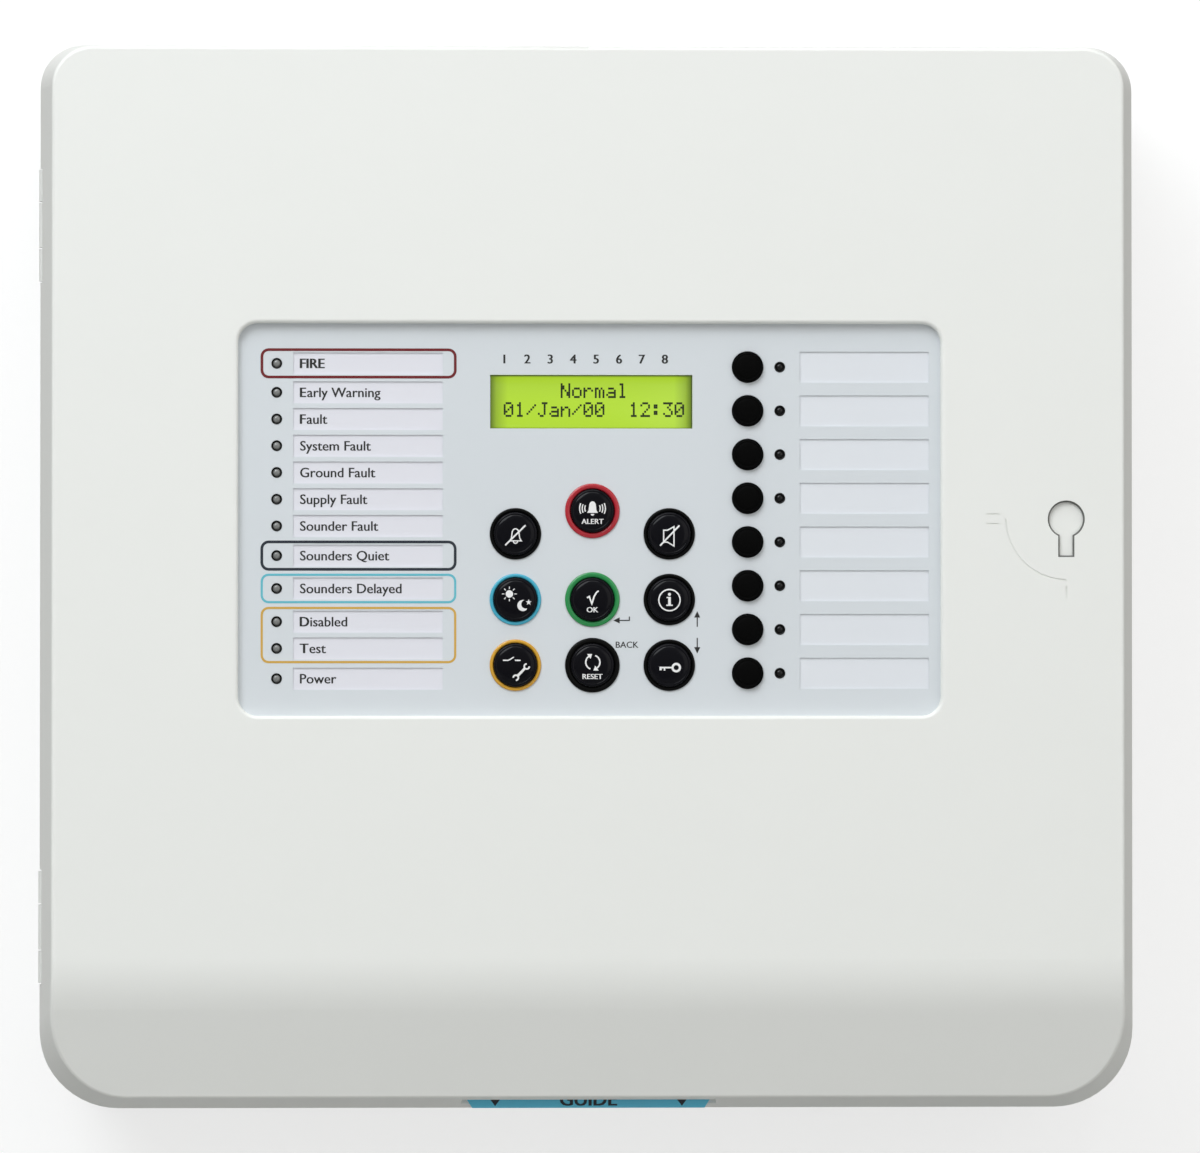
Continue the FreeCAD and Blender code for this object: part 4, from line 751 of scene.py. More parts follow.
class Former:
    """Gathers a piece's faces, in millimetres, and makes its object."""

    def __init__(self, name: str, *finishes: Finish) -> None:
        """Starts a piece with a name and the finishes that its faces may have.

        Args:
            name: The piece's name.
            *finishes: Its finishes.
        """
        self.name = name
        self.finishes = finishes
        self.points: list[Vector] = []
        self.faces: list[tuple[int, ...]] = []
        self.paints: list[int] = []
        self.surface: Callable[[float, float], float] = lambda x, z: 0.0

    def put(self, x: float, depth: float, z: float) -> Vector:
        """A place on the piece, with its depth measured from the surface below."""
        return at(x, depth + self.surface(x, z), z)

    def add(self, points: Sequence[Vector], faces: Iterable[Sequence[int]], paint: int = 0) -> None:
        """Adds faces that count their points from the first one given.

        Args:
            points: Places in the frame.
            faces: Each face's points, by number.
            paint: Which finish it has.
        """
        first = len(self.points)
        self.points.extend(points)
        for face in faces:
            self.faces.append(tuple(first + index for index in face))
            self.paints.append(paint)

    def loft(self, rings: Sequence[Sequence[Vector]], paint: int = 0) -> None:
        """Adds a solid whose skin joins rings of as many points each, closed at both ends.

        Args:
            rings: The rings, from one end to the other.
            paint: Which finish it has.
        """
        count = len(rings[0])
        points = [point for ring in rings for point in ring]
        faces: list[tuple[int, ...]] = []
        for level in range(len(rings) - 1):
            low = level * count
            for step in range(count):
                ahead = (step + 1) % count
                faces.append((low + step, low + ahead, low + count + ahead, low + count + step))
        last = len(points) - count
        faces.append(tuple(reversed(range(count))))
        faces.append(tuple(range(last, len(points))))
        self.add(points, faces, paint)

    def slab(self, outline: Sequence[Point], span: Range, paint: int = 0) -> None:
        """Adds a flat solid with the given outline between two depths."""
        self.loft([[self.put(x, depth, z) for x, z in outline] for depth in span], paint)

    def pad(self, x: float, z: float, width: float, height: float, span: Range, corner: float = 0.6,
            edge: float = 0.25, paint: int = 0) -> None:
        """Adds a rounded block with eased edges.

        Args:
            x: Its middle across.
            z: Its middle's height.
            width: Its width.
            height: Its height.
            span: Its depths.
            corner: The radius of its four corners.
            edge: How much its front and back edges are eased.
            paint: Which finish it has.
        """
        low, high = span
        steps = ((low, edge), (low + edge * 0.3, edge * 0.3), (low + edge, 0.0),
                 (high - edge, 0.0), (high - edge * 0.3, edge * 0.3), (high, edge))
        rings = []
        for depth, inset in steps:
            outline = rounded(x, z, width - inset * 2, height - inset * 2, max(corner - inset, 0.05))
            rings.append([self.put(px, depth, pz) for px, pz in outline])
        self.loft(rings, paint)

    def turned(self, axis: Axis, centre: Point, profile: Sequence[Point], paint: int = 0,
               segments: int = 32) -> None:
        """Adds a turned solid.

        Args:
            axis: What it is turned about.
            centre: The axis's place: (x, z), (depth, z) or (x, depth).
            profile: Radius and place along the axis, from one end to the other.
            paint: Which finish it has.
            segments: How many sides it has.
        """
        rings = []
        for radius, along in profile:
            ring = []
            for u, v in arc(centre[0], centre[1], max(radius, 0.004), count=segments):
                spots = {Axis.DEPTH: (u, along, v), Axis.ACROSS: (along, u, v), Axis.UPRIGHT: (u, v, along)}
                ring.append(at(*spots[axis]))
            rings.append(ring)
        self.loft(rings, paint)

    def hoop(self, centre: Point, section: Sequence[Point], paint: int = 0, segments: int = 72) -> None:
        """Adds a ring with a closed section.

        Args:
            centre: Its middle, seen from the front.
            section: The section's corners, each a radius and a depth.
            paint: Which finish it has.
            segments: How many sides it has.
        """
        points = []
        for radius, depth in section:
            points += [at(x, depth, z) for x, z in arc(*centre, radius, count=segments)]
        rows = len(section)
        faces = []
        for row in range(rows):
            under = (row + 1) % rows
            for step in range(segments):
                ahead = (step + 1) % segments
                faces.append((row * segments + step, row * segments + ahead,
                              under * segments + ahead, under * segments + step))
        self.add(points, faces, paint)

    def tube(self, path: Sequence[Vector], radius: float, paint: int = 0, segments: int = 10) -> None:
        """Adds a round tube along places in the frame.

        Args:
            path: Its middle line.
            radius: Its radius.
            paint: Which finish it has.
            segments: How many sides it has.
        """
        rings = []
        side = Vector((0.0, 0.0, 1.0))
        for index, place in enumerate(path):
            along = (path[min(index + 1, len(path) - 1)] - path[max(index - 1, 0)]).normalized()
            side = (side - along * side.dot(along))
            side = side.normalized() if side.length > 1e-6 else along.orthogonal().normalized()
            other = along.cross(side)
            rings.append([place + (side * math.cos(a) + other * math.sin(a)) * radius * MM
                          for a in (math.tau * step / segments for step in range(segments))])
        self.loft(rings, paint)

    def band(self, points: Sequence[Point], width: float, span: Range, closed: bool = False,
             paint: int = 0) -> None:
        """Adds a flat line of even width.

        Args:
            points: Its middle line.
            width: Its width.
            span: Its depths.
            closed: Whether its end joins its start.
            paint: Which finish it has.
        """
        count = len(points)
        sides: list[tuple[Point, Point]] = []
        for index, (x, z) in enumerate(points):
            before = points[index - 1] if index or closed else points[index]
            after = points[(index + 1) % count] if index + 1 < count or closed else points[index]
            into = Vector((x - before[0], z - before[1]))
            out = Vector((after[0] - x, after[1] - z))
            into = into.normalized() if into.length else out.normalized()
            out = out.normalized() if out.length else into
            mean = (into + out).normalized()
            normal = Vector((-mean.y, mean.x))
            reach = width / 2 / max(normal.dot(Vector((-into.y, into.x))), 0.4)
            sides.append(((x + normal.x * reach, z + normal.y * reach),
                          (x - normal.x * reach, z - normal.y * reach)))
        corners: list[Vector] = []
        for left, right in sides:
            corners += [self.put(*_deep(left, span[0])), self.put(*_deep(right, span[0])),
                        self.put(*_deep(right, span[1])), self.put(*_deep(left, span[1]))]
        faces: list[tuple[int, ...]] = []
        for index in range(count if closed else count - 1):
            here = index * 4
            ahead = ((index + 1) % count) * 4
            for step in range(4):
                turn = (step + 1) % 4
                faces.append((here + step, here + turn, ahead + turn, ahead + step))
        if not closed:
            faces += [(3, 2, 1, 0), tuple(range(count * 4 - 4, count * 4))]
        self.add(corners, faces, paint)

    def words(self, text: str, x: float, z: float, height: float, span: Range, weight: float = 0.0,
              centred: bool = False, squeeze: float = 1.0, paint: int = 0) -> None:
        """Adds raised lettering.

        Args:
            text: What it says.
            x: Its left end, or its middle when centred.
            z: The height of its foot.
            height: The height of a capital.
            span: Its depths.
            weight: How much each stroke is thickened.
            centred: Whether x is its middle.
            squeeze: Its width as a share of the typeface's own.
            paint: Which finish it has.
        """
        points, faces = Lettering.outline(text)
        reach = max(point.x for point in points)
        shift = reach / 2 if centred else 0.0
        for number, nudge in enumerate((0.0, -weight, weight) if weight else (0.0,)):
            front = span[1] - 0.002 * number
            placed = [self.put(x + nudge + (p.x - shift) * height * squeeze, front if p.z > 0 else span[0],
                               z + p.y * height) for p in points]
            self.add(placed, faces, paint)

    def finish(self, body: str, slot: str, *replaced: str, crease: float = 35.0) -> bpy.types.Object:
        """Makes the piece, dresses it and lets it ride.

        Args:
            body: The body that it moves with.
            slot: The record's material slot; not used.
            *replaced: The CAD nodes that it stands for.
            crease: The angle, in degrees, from which an edge stays sharp.

        Returns:
            The piece.
        """
        mesh = bpy.data.meshes.new(self.name)
        mesh.from_pydata([tuple(point) for point in self.points], [], self.faces)
        mesh.polygons.foreach_set("material_index", self.paints)
        for finish in self.finishes:
            mesh.materials.append(material(finish))
        turn_outwards(mesh)
        mesh.shade_smooth()
        mesh.set_sharp_from_angle(angle=math.radians(crease))
        piece = bpy.data.objects.new(self.name, mesh)
        bpy.context.scene.collection.objects.link(piece)
        if replaced:
            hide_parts(*replaced)
        if body:
            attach(piece, body)
        LOG.info("%s: %d faces, rides on %s", self.name, len(self.faces), body or "nothing yet")
        return piece


def _deep(point: Point, depth: float) -> Place:
    """A point of an outline with its depth between its two places."""
    return (point[0], depth, point[1])


def turn_outwards(mesh: bpy.types.Mesh) -> None:
    """Turns every face of a closed mesh outwards.

    Args:
        mesh: The mesh.
    """
    work = bmesh.new()
    work.from_mesh(mesh)
    bmesh.ops.recalc_face_normals(work, faces=work.faces)
    work.to_mesh(mesh)
    work.free()


class Lettering:
    """Blender's own typeface, as solid outlines with capitals one unit high."""

    _cache: dict[str, tuple[list[Vector], list[tuple[int, ...]]]] = {}
    _capital: float = 0.0

    @classmethod
    def outline(cls, text: str) -> tuple[list[Vector], list[tuple[int, ...]]]:
        """The points and faces of a line of text.

        Args:
            text: What it says.

        Returns:
            The points and faces.
        """
        if not cls._capital:
            points, _ = cls._trace("H")
            cls._capital = max(point.y for point in points)
        if text not in cls._cache:
            points, faces = cls._trace(text)
            left = min(point.x for point in points)
            scaled = [Vector(((p.x - left) / cls._capital, p.y / cls._capital, p.z)) for p in points]
            cls._cache[text] = (scaled, faces)
        return cls._cache[text]

    @staticmethod
    def _trace(text: str) -> tuple[list[Vector], list[tuple[int, ...]]]:
        """A line of text as a mesh's points and faces, at the typeface's own size.

        Args:
            text: What it says.

        Returns:
            The points and faces.
        """
        curve = bpy.data.curves.new("lettering", "FONT")
        curve.body = text
        curve.extrude = 0.01
        curve.resolution_u = 3
        holder = bpy.data.objects.new("lettering", curve)
        bpy.context.scene.collection.objects.link(holder)
        graph = bpy.context.evaluated_depsgraph_get()
        mesh = bpy.data.meshes.new_from_object(holder.evaluated_get(graph))
        points = [vertex.co.copy() for vertex in mesh.vertices]
        faces = [tuple(polygon.vertices) for polygon in mesh.polygons]
        bpy.data.objects.remove(holder)
        bpy.data.curves.remove(curve)
        bpy.data.meshes.remove(mesh)
        return points, faces


def dress(finish: Finish, *nodes: str, eased: float = 0.0) -> None:
    """Gives CAD nodes their finish.

    Args:
        finish: The finish.
        *nodes: The CAD nodes.
        eased: How much their edges are eased, in millimetres, on plain blocks.
    """
    for name in nodes:
        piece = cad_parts[name]
        piece.data.materials.clear()
        piece.data.materials.append(material(finish))
        if eased:
            weld = piece.modifiers.new("Weld", "WELD")
            weld.merge_threshold = 1e-6
            bevel = piece.modifiers.new("Eased edges", "BEVEL")
            bevel.width = eased * MM
            bevel.segments = 3
            bevel.angle_limit = math.radians(40)
            bevel.harden_normals = True
        LOG.info("%s: dressed in %s", name, finish.name)


# ---------------------------------------------------------------- pictograms

@dataclass(frozen=True)
class Stroke:
    """A line of a pictogram, in millimetres from its key's centre."""

    points: Sequence[Point]
    width: float = 0.42
    closed: bool = False


@dataclass(frozen=True)
class Patch:
    """A filled shape of a pictogram."""

    points: Sequence[Point]


@dataclass(frozen=True)
class Word:
    """A small word under a pictogram."""

    text: str
    z: float
    height: float = 1.45


Mark = Stroke | Patch | Word


class Sign(Enum):
    """What a control key shows."""

    ALERT = "key_evacuate"
    BELL_OFF = "key_silence_buzzer"
    SPEAKER_OFF = "key_silence_sounders"
    DAY_NIGHT = "key_day_night"
    TICK = "key_acknowledge"
    INFORMATION = "key_information"
    SWITCH = "key_test"
    RESET = "key_reset"
    KEY = "key_access"


class Pictograms:
    """Draws each sign."""

    def marks(self, sign: Sign) -> list[Mark]:
        """The marks that make up a sign.

        Args:
            sign: Which sign.

        Returns:
            The marks.
        """
        drawers = {Sign.ALERT: self.alert, Sign.BELL_OFF: self.bell_off, Sign.SPEAKER_OFF: self.speaker_off,
                   Sign.DAY_NIGHT: self.day_night, Sign.TICK: self.tick, Sign.INFORMATION: self.information,
                   Sign.SWITCH: self.switch, Sign.RESET: self.reset, Sign.KEY: self.key}
        return drawers[sign]()

    def bell(self, x: float, z: float, size: float) -> list[Point]:
        """A bell's outline around a centre, with its half-height given.

        Args:
            x: The centre's place across.
            z: The centre's height.
            size: Half of its height.

        Returns:
            The outline.
        """
        half = [(0.10, 1.00), (0.30, 0.88), (0.45, 0.62), (0.50, 0.20), (0.56, -0.25), (0.78, -0.62)]
        right = [(x + u * size, z + v * size) for u, v in half]
        left = [(x - u * size, z + v * size) for u, v in reversed(half)]
        return right + left

    def alert(self) -> list[Mark]:
        """A sounding bell over a word.

        Returns:
            The marks.
        """
        waves: list[Mark] = [Patch(self.bell(0, 0.7, 2.2)), Patch(arc(0, -1.0, 0.55, 180, 180, 8))]
        for side in (0, 180):
            for radius in (2.4, 3.2, 4.0):
                waves.append(Stroke(arc(0, 0.7, radius, side - 24, 48, 6), 0.36))
        return waves + [Word("ALERT", -4.1, 1.55)]

    def bell_off(self) -> list[Mark]:
        """A crossed-out bell."""
        return [Stroke(self.bell(0, -0.8, 2.3), 0.36, True), Stroke(arc(0, -2.3, 0.7, 180, 180, 6), 0.34),
                Stroke([(-3.2, -3.6), (3.1, 2.6)], 0.5)]

    def speaker_off(self) -> list[Mark]:
        """A crossed-out loudspeaker."""
        horn = [(-1.8, 1.1), (-0.6, 1.1), (1.4, 2.2), (1.4, -3.8), (-0.6, -2.6), (-1.8, -2.6)]
        return [Stroke(horn, 0.4, True), Stroke([(-2.9, -3.7), (3.1, 2.6)], 0.5)]

    def day_night(self) -> list[Mark]:
        """A sun over a moon and a star.

        Returns:
            The marks.
        """
        marks: list[Mark] = [Patch(arc(-1.9, 1.7, 1.15))]
        for step in range(8):
            a = math.radians(45 * step)
            ray = [(-1.9 + math.cos(a) * reach, 1.7 + math.sin(a) * reach) for reach in (1.55, 2.3)]
            marks.append(Stroke(ray, 0.26))
        moon = arc(2.3, -1.9, 1.75, 60, 250, 16) + arc(3.15, -1.5, 1.35, 290, -210, 14)
        star = []
        for step in range(10):
            a = math.radians(18 + 36 * step)
            reach = 0.4 if step % 2 else 1.0
            star.append((4.1 + math.cos(a) * reach, -0.9 + math.sin(a) * reach))
        return marks + [Patch(moon), Patch(star)]

    def tick(self) -> list[Mark]:
        """A tick over a word."""
        tick = [(-1.7, 0.5), (-1.0, 0.9), (-0.2, -1.4), (0.5, 0.9), (1.2, 2.1), (1.9, 2.7)]
        return [Stroke(tick, 0.48), Word("OK", -4.0, 1.6)]

    def information(self) -> list[Mark]:
        """A letter i in a ring.

        Returns:
            The marks.
        """
        foot = [(-1.0, -2.0), (1.0, -2.0), (1.0, -1.6), (0.42, -1.6), (0.42, 0.8), (-0.9, 0.8),
                (-0.9, 0.4), (-0.42, 0.4), (-0.42, -1.6), (-1.0, -1.6)]
        return [Stroke(arc(0, -0.2, 3.3, count=40), 0.42, True), Patch(foot), Patch(arc(0, 1.6, 0.48))]

    def switch(self) -> list[Mark]:
        """An open switch over a spanner.

        Returns:
            The marks.
        """
        marks: list[Mark] = [Stroke([(-3.9, 1.5), (-2.2, 1.5)], 0.4),
                             Stroke([(-2.2, 1.5), (-0.5, 2.5)], 0.36),
                             Stroke([(-0.2, 1.5), (1.6, 1.5)], 0.4)]
        marks.append(Stroke([(0.6, -3.4), (3.0, -0.9)], 0.75))
        for x, z, start in ((3.5, -0.4, 90), (0.1, -3.9, 270)):
            marks.append(Stroke(arc(x, z, 0.8, start, 270, 12), 0.5))
        return marks

    def reset(self) -> list[Mark]:
        """Two arrows that chase each other round, over a word.

        Returns:
            The marks.
        """
        marks: list[Mark] = []
        for start in (70, 250):
            marks.append(Stroke(arc(0.1, 0.9, 2.2, start, -125, 14), 0.45))
            end = math.radians(start - 125)
            x = 0.1 + 2.2 * math.cos(end)
            z = 0.9 + 2.2 * math.sin(end)
            tip = end - math.radians(90)
            marks.append(Patch([(x + math.cos(tip) * 1.3, z + math.sin(tip) * 1.3),
                                (x + math.cos(end) * 0.95, z + math.sin(end) * 0.95),
                                (x - math.cos(end) * 0.95, z - math.sin(end) * 0.95)]))
        return marks + [Word("RESET", -4.3, 1.55)]

    def key(self) -> list[Mark]:
        """A key lying on its side.

        Returns:
            The marks.
        """
        blade = [(-3.1, -0.5), (0.9, -0.5), (0.9, -1.0), (-1.3, -1.0), (-1.3, -1.7), (-1.8, -1.7),
                 (-1.8, -1.0), (-2.4, -1.0), (-2.4, -1.6), (-3.1, -1.6)]
        return [Patch(blade), Stroke(arc(2.1, -0.75, 1.15, count=20), 0.7, True)]

    def fine(self, points: Sequence[Point], closed: bool, step: float = 0.6) -> list[Point]:
        """A line with points close enough to follow the dome below.

        Args:
            points: Its points.
            closed: Whether its end joins its start.
            step: How far apart the points may be.

        Returns:
            The finer line.
        """
        path: list[Point] = []
        ends = list(points[1:]) + ([points[0]] if closed else [])
        for start, end in zip(points, ends):
            count = max(int(math.dist(start, end) / step), 1)
            path += [(start[0] + (end[0] - start[0]) * i / count, start[1] + (end[1] - start[1]) * i / count)
                     for i in range(count)]
        return path if closed else path + [points[-1]]

    def draw(self, former: Former, sign: Sign, centre: Point, span: Range, paint: int) -> None:
        """Adds a sign's marks to a piece.

        Args:
            former: The piece.
            sign: Which sign.
            centre: The key's centre.
            span: The marks' depths.
            paint: The finish that they have.
        """
        x, z = centre
        for mark in self.marks(sign):
            if isinstance(mark, Word):
                former.words(mark.text, x, z + mark.z, mark.height, span, 0.06, True, 1.05, paint)
                continue
            points = [(x + u, z + v) for u, v in mark.points]
            if isinstance(mark, Stroke):
                former.band(self.fine(points, mark.closed), mark.width, span, mark.closed, paint)
            else:
                former.slab(points, span, paint)


# ---------------------------------------------------------------- the cover and its controls

@dataclass
class Enclosure:
    """The wall box, the cover and their small hardware."""

    keyhole_radius: float = 5.8
    keyhole_slot: float = 5.1
    keyhole_drop: float = 11.8
    # The width of the painted shadow band inside the keyhole.
    keyhole_shadow_width: float = 0.5
    grommet_neck: float = 10.15
    grommet_rim: float = 1.6
    grommet_flange: float = 2.0
    grommet_dish: float = 0.55
    grommet_crest: float = 0.35
    grommet_steps: Range = (6.4, 3.4)

    def build(self) -> None:
        """Dresses the mouldings, the pins, the grommets and the lock."""
        self.keyhole()
        self.grommets()
        dress(HOUSING, "rear_housing", "card_holder", "lock_bush", "fascia_plate")
        dress(COVER, "front_cover")
        dress(ZINC, "hinge_pins", "lock_cam")
        dress(COVER, "lock_barrel")

    def grommets(self) -> None:
        """Makes the blind grommets, with the steps that a cable's size is cut along."""
        former = Former("entry_grommets_stepped", RUBBER)
        for grommet in islands("entry_grommets"):
            centre = (grommet.centre[0], sum(grommet.depth) / 2)
            foot, crown = grommet.z
            flange = grommet.width / 2
            neck = self.grommet_neck
            low = foot + self.grommet_rim
            top = crown - self.grommet_flange
            dish = crown - self.grommet_dish
            bore = neck - self.grommet_rim
            profile = [(0.0, top), (bore, top), (bore, foot), (flange, foot), (flange, low), (neck, low),
                       (neck, top), (flange, top), (flange - 0.2, crown - 0.3), (flange - 0.6, crown),
                       (flange - 3.0, crown), (flange - 3.5, dish)]
            for step in self.grommet_steps:
                crest = dish + self.grommet_crest
                profile += [(step, dish), (step - 0.3, crest), (step - 0.9, crest), (step - 1.2, dish)]
            former.turned(Axis.UPRIGHT, centre, profile + [(0.0, dish)], 0, 56)
        former.finish("housing", "grommet_rubber", "entry_grommets")

    def keyhole(self) -> None:
        """Makes a dark band of painted shadow along the inside of the keyhole, where the gap round the
        barrel is, just clear of the barrel that turns behind it.
        """
        barrel = island("lock_barrel")
        x, z = barrel.centre
        radius = self.keyhole_radius - self.keyhole_shadow_width / 2
        side = self.keyhole_slot / 2 - self.keyhole_shadow_width / 2
        foot = z - self.keyhole_drop + self.keyhole_shadow_width / 2
        lean = math.degrees(math.asin(side / radius))
        outline = arc(x, z, radius, lean - 90, 360 - 2 * lean, 48) + [(x - side, foot), (x + side, foot)]
        former = Former("keyhole_painted_shadow", KEYHOLE_SHADOW)
        former.band(outline, self.keyhole_shadow_width, (barrel.depth[1] + 0.1, barrel.depth[1] + 0.7), True)
        former.finish("door", "cover_plastic")


@dataclass
class Keys:
    """The seventeen keys, domed and lettered, and the rings round the nine control keys."""

    flange_lap: float = 1.2
    flange_depth: float = 1.0
    flange_front: float = 93.8
    stem: float = 2.0
    shoulder: float = 97.6
    dome_edge: float = 1.4
    dome_rise: float = 0.26
    ink: Range = (-0.04, 0.05)
    pictograms: Pictograms = field(default_factory=Pictograms)

    def build(self) -> None:
        """Makes every key and its ring."""
        for sign in Sign:
            self.cap(sign.value, sign)
        for name in sorted(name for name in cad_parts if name.startswith("zone_key_")):
            self.cap(name, None)
        self.rings()

    def dome(self, radius: float, tip: float) -> list[Point]:
        """The profile of a cap's front, from its shoulder to the middle.

        Args:
            radius: Its radius.
            tip: The depth of the dome's middle.

        Returns:
            Radius and depth, from the shoulder on.
        """
        profile = [(radius, self.shoulder), (radius - 0.03, tip - 0.85), (radius - 0.16, tip - 0.60),
                   (radius - 0.42, tip - 0.44), (radius - 0.70, tip - 0.42), (radius - 0.86, tip - 0.50),
                   (radius - 1.02, tip - 0.42),
                   (radius - self.dome_edge, tip - self.dome_rise)]
        inner = radius - self.dome_edge
        for step in range(1, 7):
            share = 1 - step / 6
            profile.append((inner * share, tip - self.dome_rise * share * share))
        return profile

    def cap(self, node: str, sign: Sign | None) -> None:
        """Makes one key: its dome, flange, stem and sign.

        Args:
            node: The key's CAD node.
            sign: Its sign, or None for a plain key.
        """
        reach = island(node)
        radius = reach.width / 2 - self.flange_lap
        x, z = reach.centre
        tip = reach.depth[1] - (self.ink[1] if sign else 0.0)
        back = self.flange_front - self.flange_depth
        former = Former(f"{node}_cap", KEY_GLOSS if sign else KEY_MATT, INK_WHITE)
        profile = [(0.0, reach.depth[0]), (self.stem, reach.depth[0]), (self.stem, back - 0.3),
                   (self.stem + 0.3, back), (radius + self.flange_lap, back),
                   (radius + self.flange_lap, self.flange_front), (radius, self.flange_front)]
        former.turned(Axis.DEPTH, (x, z), profile + self.dome(radius, tip), 0, 72)
        if sign:
            inner = radius - self.dome_edge

            def surface(px: float, pz: float) -> float:
                """The dome's depth at a place."""
                return tip - self.dome_rise * min(((px - x) ** 2 + (pz - z) ** 2) / inner ** 2, 1.0)

            former.surface = surface
            self.pictograms.draw(former, sign, (x, z), self.ink, 1)
        former.finish(f"{node}_cap", "key_plastic", node)

    def rings(self) -> None:
        """Makes the nine rings, each with a bead round it."""
        colours = {Sign.ALERT: 1, Sign.TICK: 2, Sign.DAY_NIGHT: 3, Sign.SWITCH: 4}
        former = Former("control_key_rings", RING_BLACK, RING_RED, RING_GREEN, RING_CYAN, RING_AMBER)
        centres = {sign: island(sign.value).centre for sign in Sign}
        for ring in islands("key_rings"):
            sign = min(centres, key=lambda s: math.dist(centres[s], ring.centre))
            outer = ring.width / 2
            inner = island(sign.value).width / 2 - self.flange_lap + 0.2
            back, front = ring.depth
            middle = (outer + inner) / 2
            section = [(inner, back), (outer, back), (outer, front - 0.25), (outer - 0.2, front - 0.06),
                       (middle, front), (inner + 0.2, front - 0.06), (inner, front - 0.25)]
            former.hoop(ring.centre, section, colours.get(sign, 0))
        former.finish("door", "ring_plastic", "key_rings", crease=50)


@dataclass
class Lamps:
    """The twenty indicator lamps, each a dome in a black collar."""

    dome: float = 1.22
    collar: float = 1.64
    front: float = 97.28
    crown: float = 0.75

    def build(self) -> None:
        """Makes the lamps."""
        former = Former("indicator_lamps", LAMP_RESIN, LAMP_COLLAR, LAMP_SMOKE, TIN)
        status = island("status_label_card").x[0]
        for lamp in islands("indicator_leds"):
            x, z = lamp.centre
            back = lamp.depth[0]
            rim = self.front - self.crown
            paint = 0 if x < status else 2
            profile = [(0.0, back + 1.0), (1.4, back + 1.0), (1.4, back + 2.0), (self.dome, back + 2.0),
                       (self.dome, rim)]
            for step in range(1, 6):
                a = math.radians(18 * step)
                profile.append((self.dome * math.cos(a), rim + self.crown * math.sin(a)))
            former.turned(Axis.DEPTH, (x, z), profile, paint, 24)
            section = [(self.dome + 0.02, back + 2.4), (1.48, back + 2.4), (1.5, 96.7), (self.collar, 96.9),
                       (self.collar, 97.12), (self.collar - 0.12, 97.2), (self.dome + 0.02, 97.05)]
            former.hoop((x, z), section, 1, 24)
            for side in (-1, 1):
                former.turned(Axis.DEPTH, (x + side * 0.64, z), [(0.25, back), (0.25, back + 1.4)], 3, 8)
        former.finish("door", "lamp_resin", "indicator_leds")


class DotMatrix:
    """The display's characters, five dots wide and seven high."""

    GLYPHS = {
        "N": "#...#|##..#|##..#|#.#.#|#..##|#..##|#...#",
        "o": ".....|.....|.###.|#...#|#...#|#...#|.###.",
        "r": ".....|.....|#.##.|##..#|#....|#....|#....",
        "m": ".....|.....|##.#.|#.#.#|#.#.#|#.#.#|#.#.#",
        "a": ".....|.....|.###.|....#|.####|#...#|.####",
        "l": ".##..|..#..|..#..|..#..|..#..|..#..|.###.",
        "J": "..###|...#.|...#.|...#.|...#.|#..#.|.##..",
        "n": ".....|.....|#.##.|##..#|#...#|#...#|#...#",
        "0": ".###.|#...#|#..##|#.#.#|##..#|#...#|.###.",
        "1": "..#..|.##..|..#..|..#..|..#..|..#..|.###.",
        "2": ".###.|#...#|....#|...#.|..#..|.#...|#####",
        "3": "#####|...#.|..#..|...#.|....#|#...#|.###.",
        "/": ".....|....#|...#.|..#..|.#...|#....|.....",
        ":": ".....|.##..|.##..|.....|.##..|.##..|.....",
    }

    def dots(self, letter: str) -> list[tuple[int, int]]:
        """The lit dots of a character, by column and row.

        Args:
            letter: The character.

        Returns:
            Each lit dot, as its column and row.
        """
        rows = self.GLYPHS.get(letter, "").split("|")
        return [(column, row) for row, line in enumerate(rows)
                for column, dot in enumerate(line) if dot == "#"]


@dataclass
class CharacterDisplay:
    """The lit display: its glass, its cells and its characters."""

    pitch: float = 3.55
    row_pitch: float = 5.9
    dot: float = 0.59
    dot_stretch: float = 1.1
    dot_pitch: float = 0.6
    rise: float = 0.66
    lines: tuple[str, str] = ("     Normal     ", "01/Jan/00  12:30")
    matrix: DotMatrix = field(default_factory=DotMatrix)

    def build(self) -> None:
        """Makes the glass and the characters, and dresses the frame."""
        glass = island("lcd_glass")
        x, z = glass.centre
        front = glass.depth[1]
        panel = Former("display_glass", DISPLAY)
        panel.pad(x, z, glass.width, glass.height, glass.depth, 0.4, 0.2)
        panel.finish("door", "display_glass", "lcd_glass")
        text = Former("display_characters", DISPLAY_DOT)
        for number, line in enumerate(self.lines):
            top = z + self.row_pitch * (0.5 - number) + 3.0
            for place, letter in enumerate(line):
                left = x + (place - len(line) / 2) * self.pitch + 1.2
                self.character(text, letter, left, top, front)
        text.finish("door", "display_glass")
        dress(BLACK, "lcd_bezel", eased=0.4)
        dress(BOARD, "lcd_board")

    def character(self, former: Former, letter: str, left: float, top: float, front: float) -> None:
        """Adds one character's lit dots.

        Args:
            former: The piece that it is added to.
            letter: The character.
            left: Its left edge.
            top: Its top edge.
            front: The depth of the glass's face.
        """
        span = (front - 0.02, front + 0.04)
        for column, row in self.matrix.dots(letter):
            x = left + (column + 0.5) * self.dot_pitch
            z = top - (row + 0.5) * self.rise
            former.slab(rectangle(x, z, self.dot, self.dot * self.dot_stretch), span)


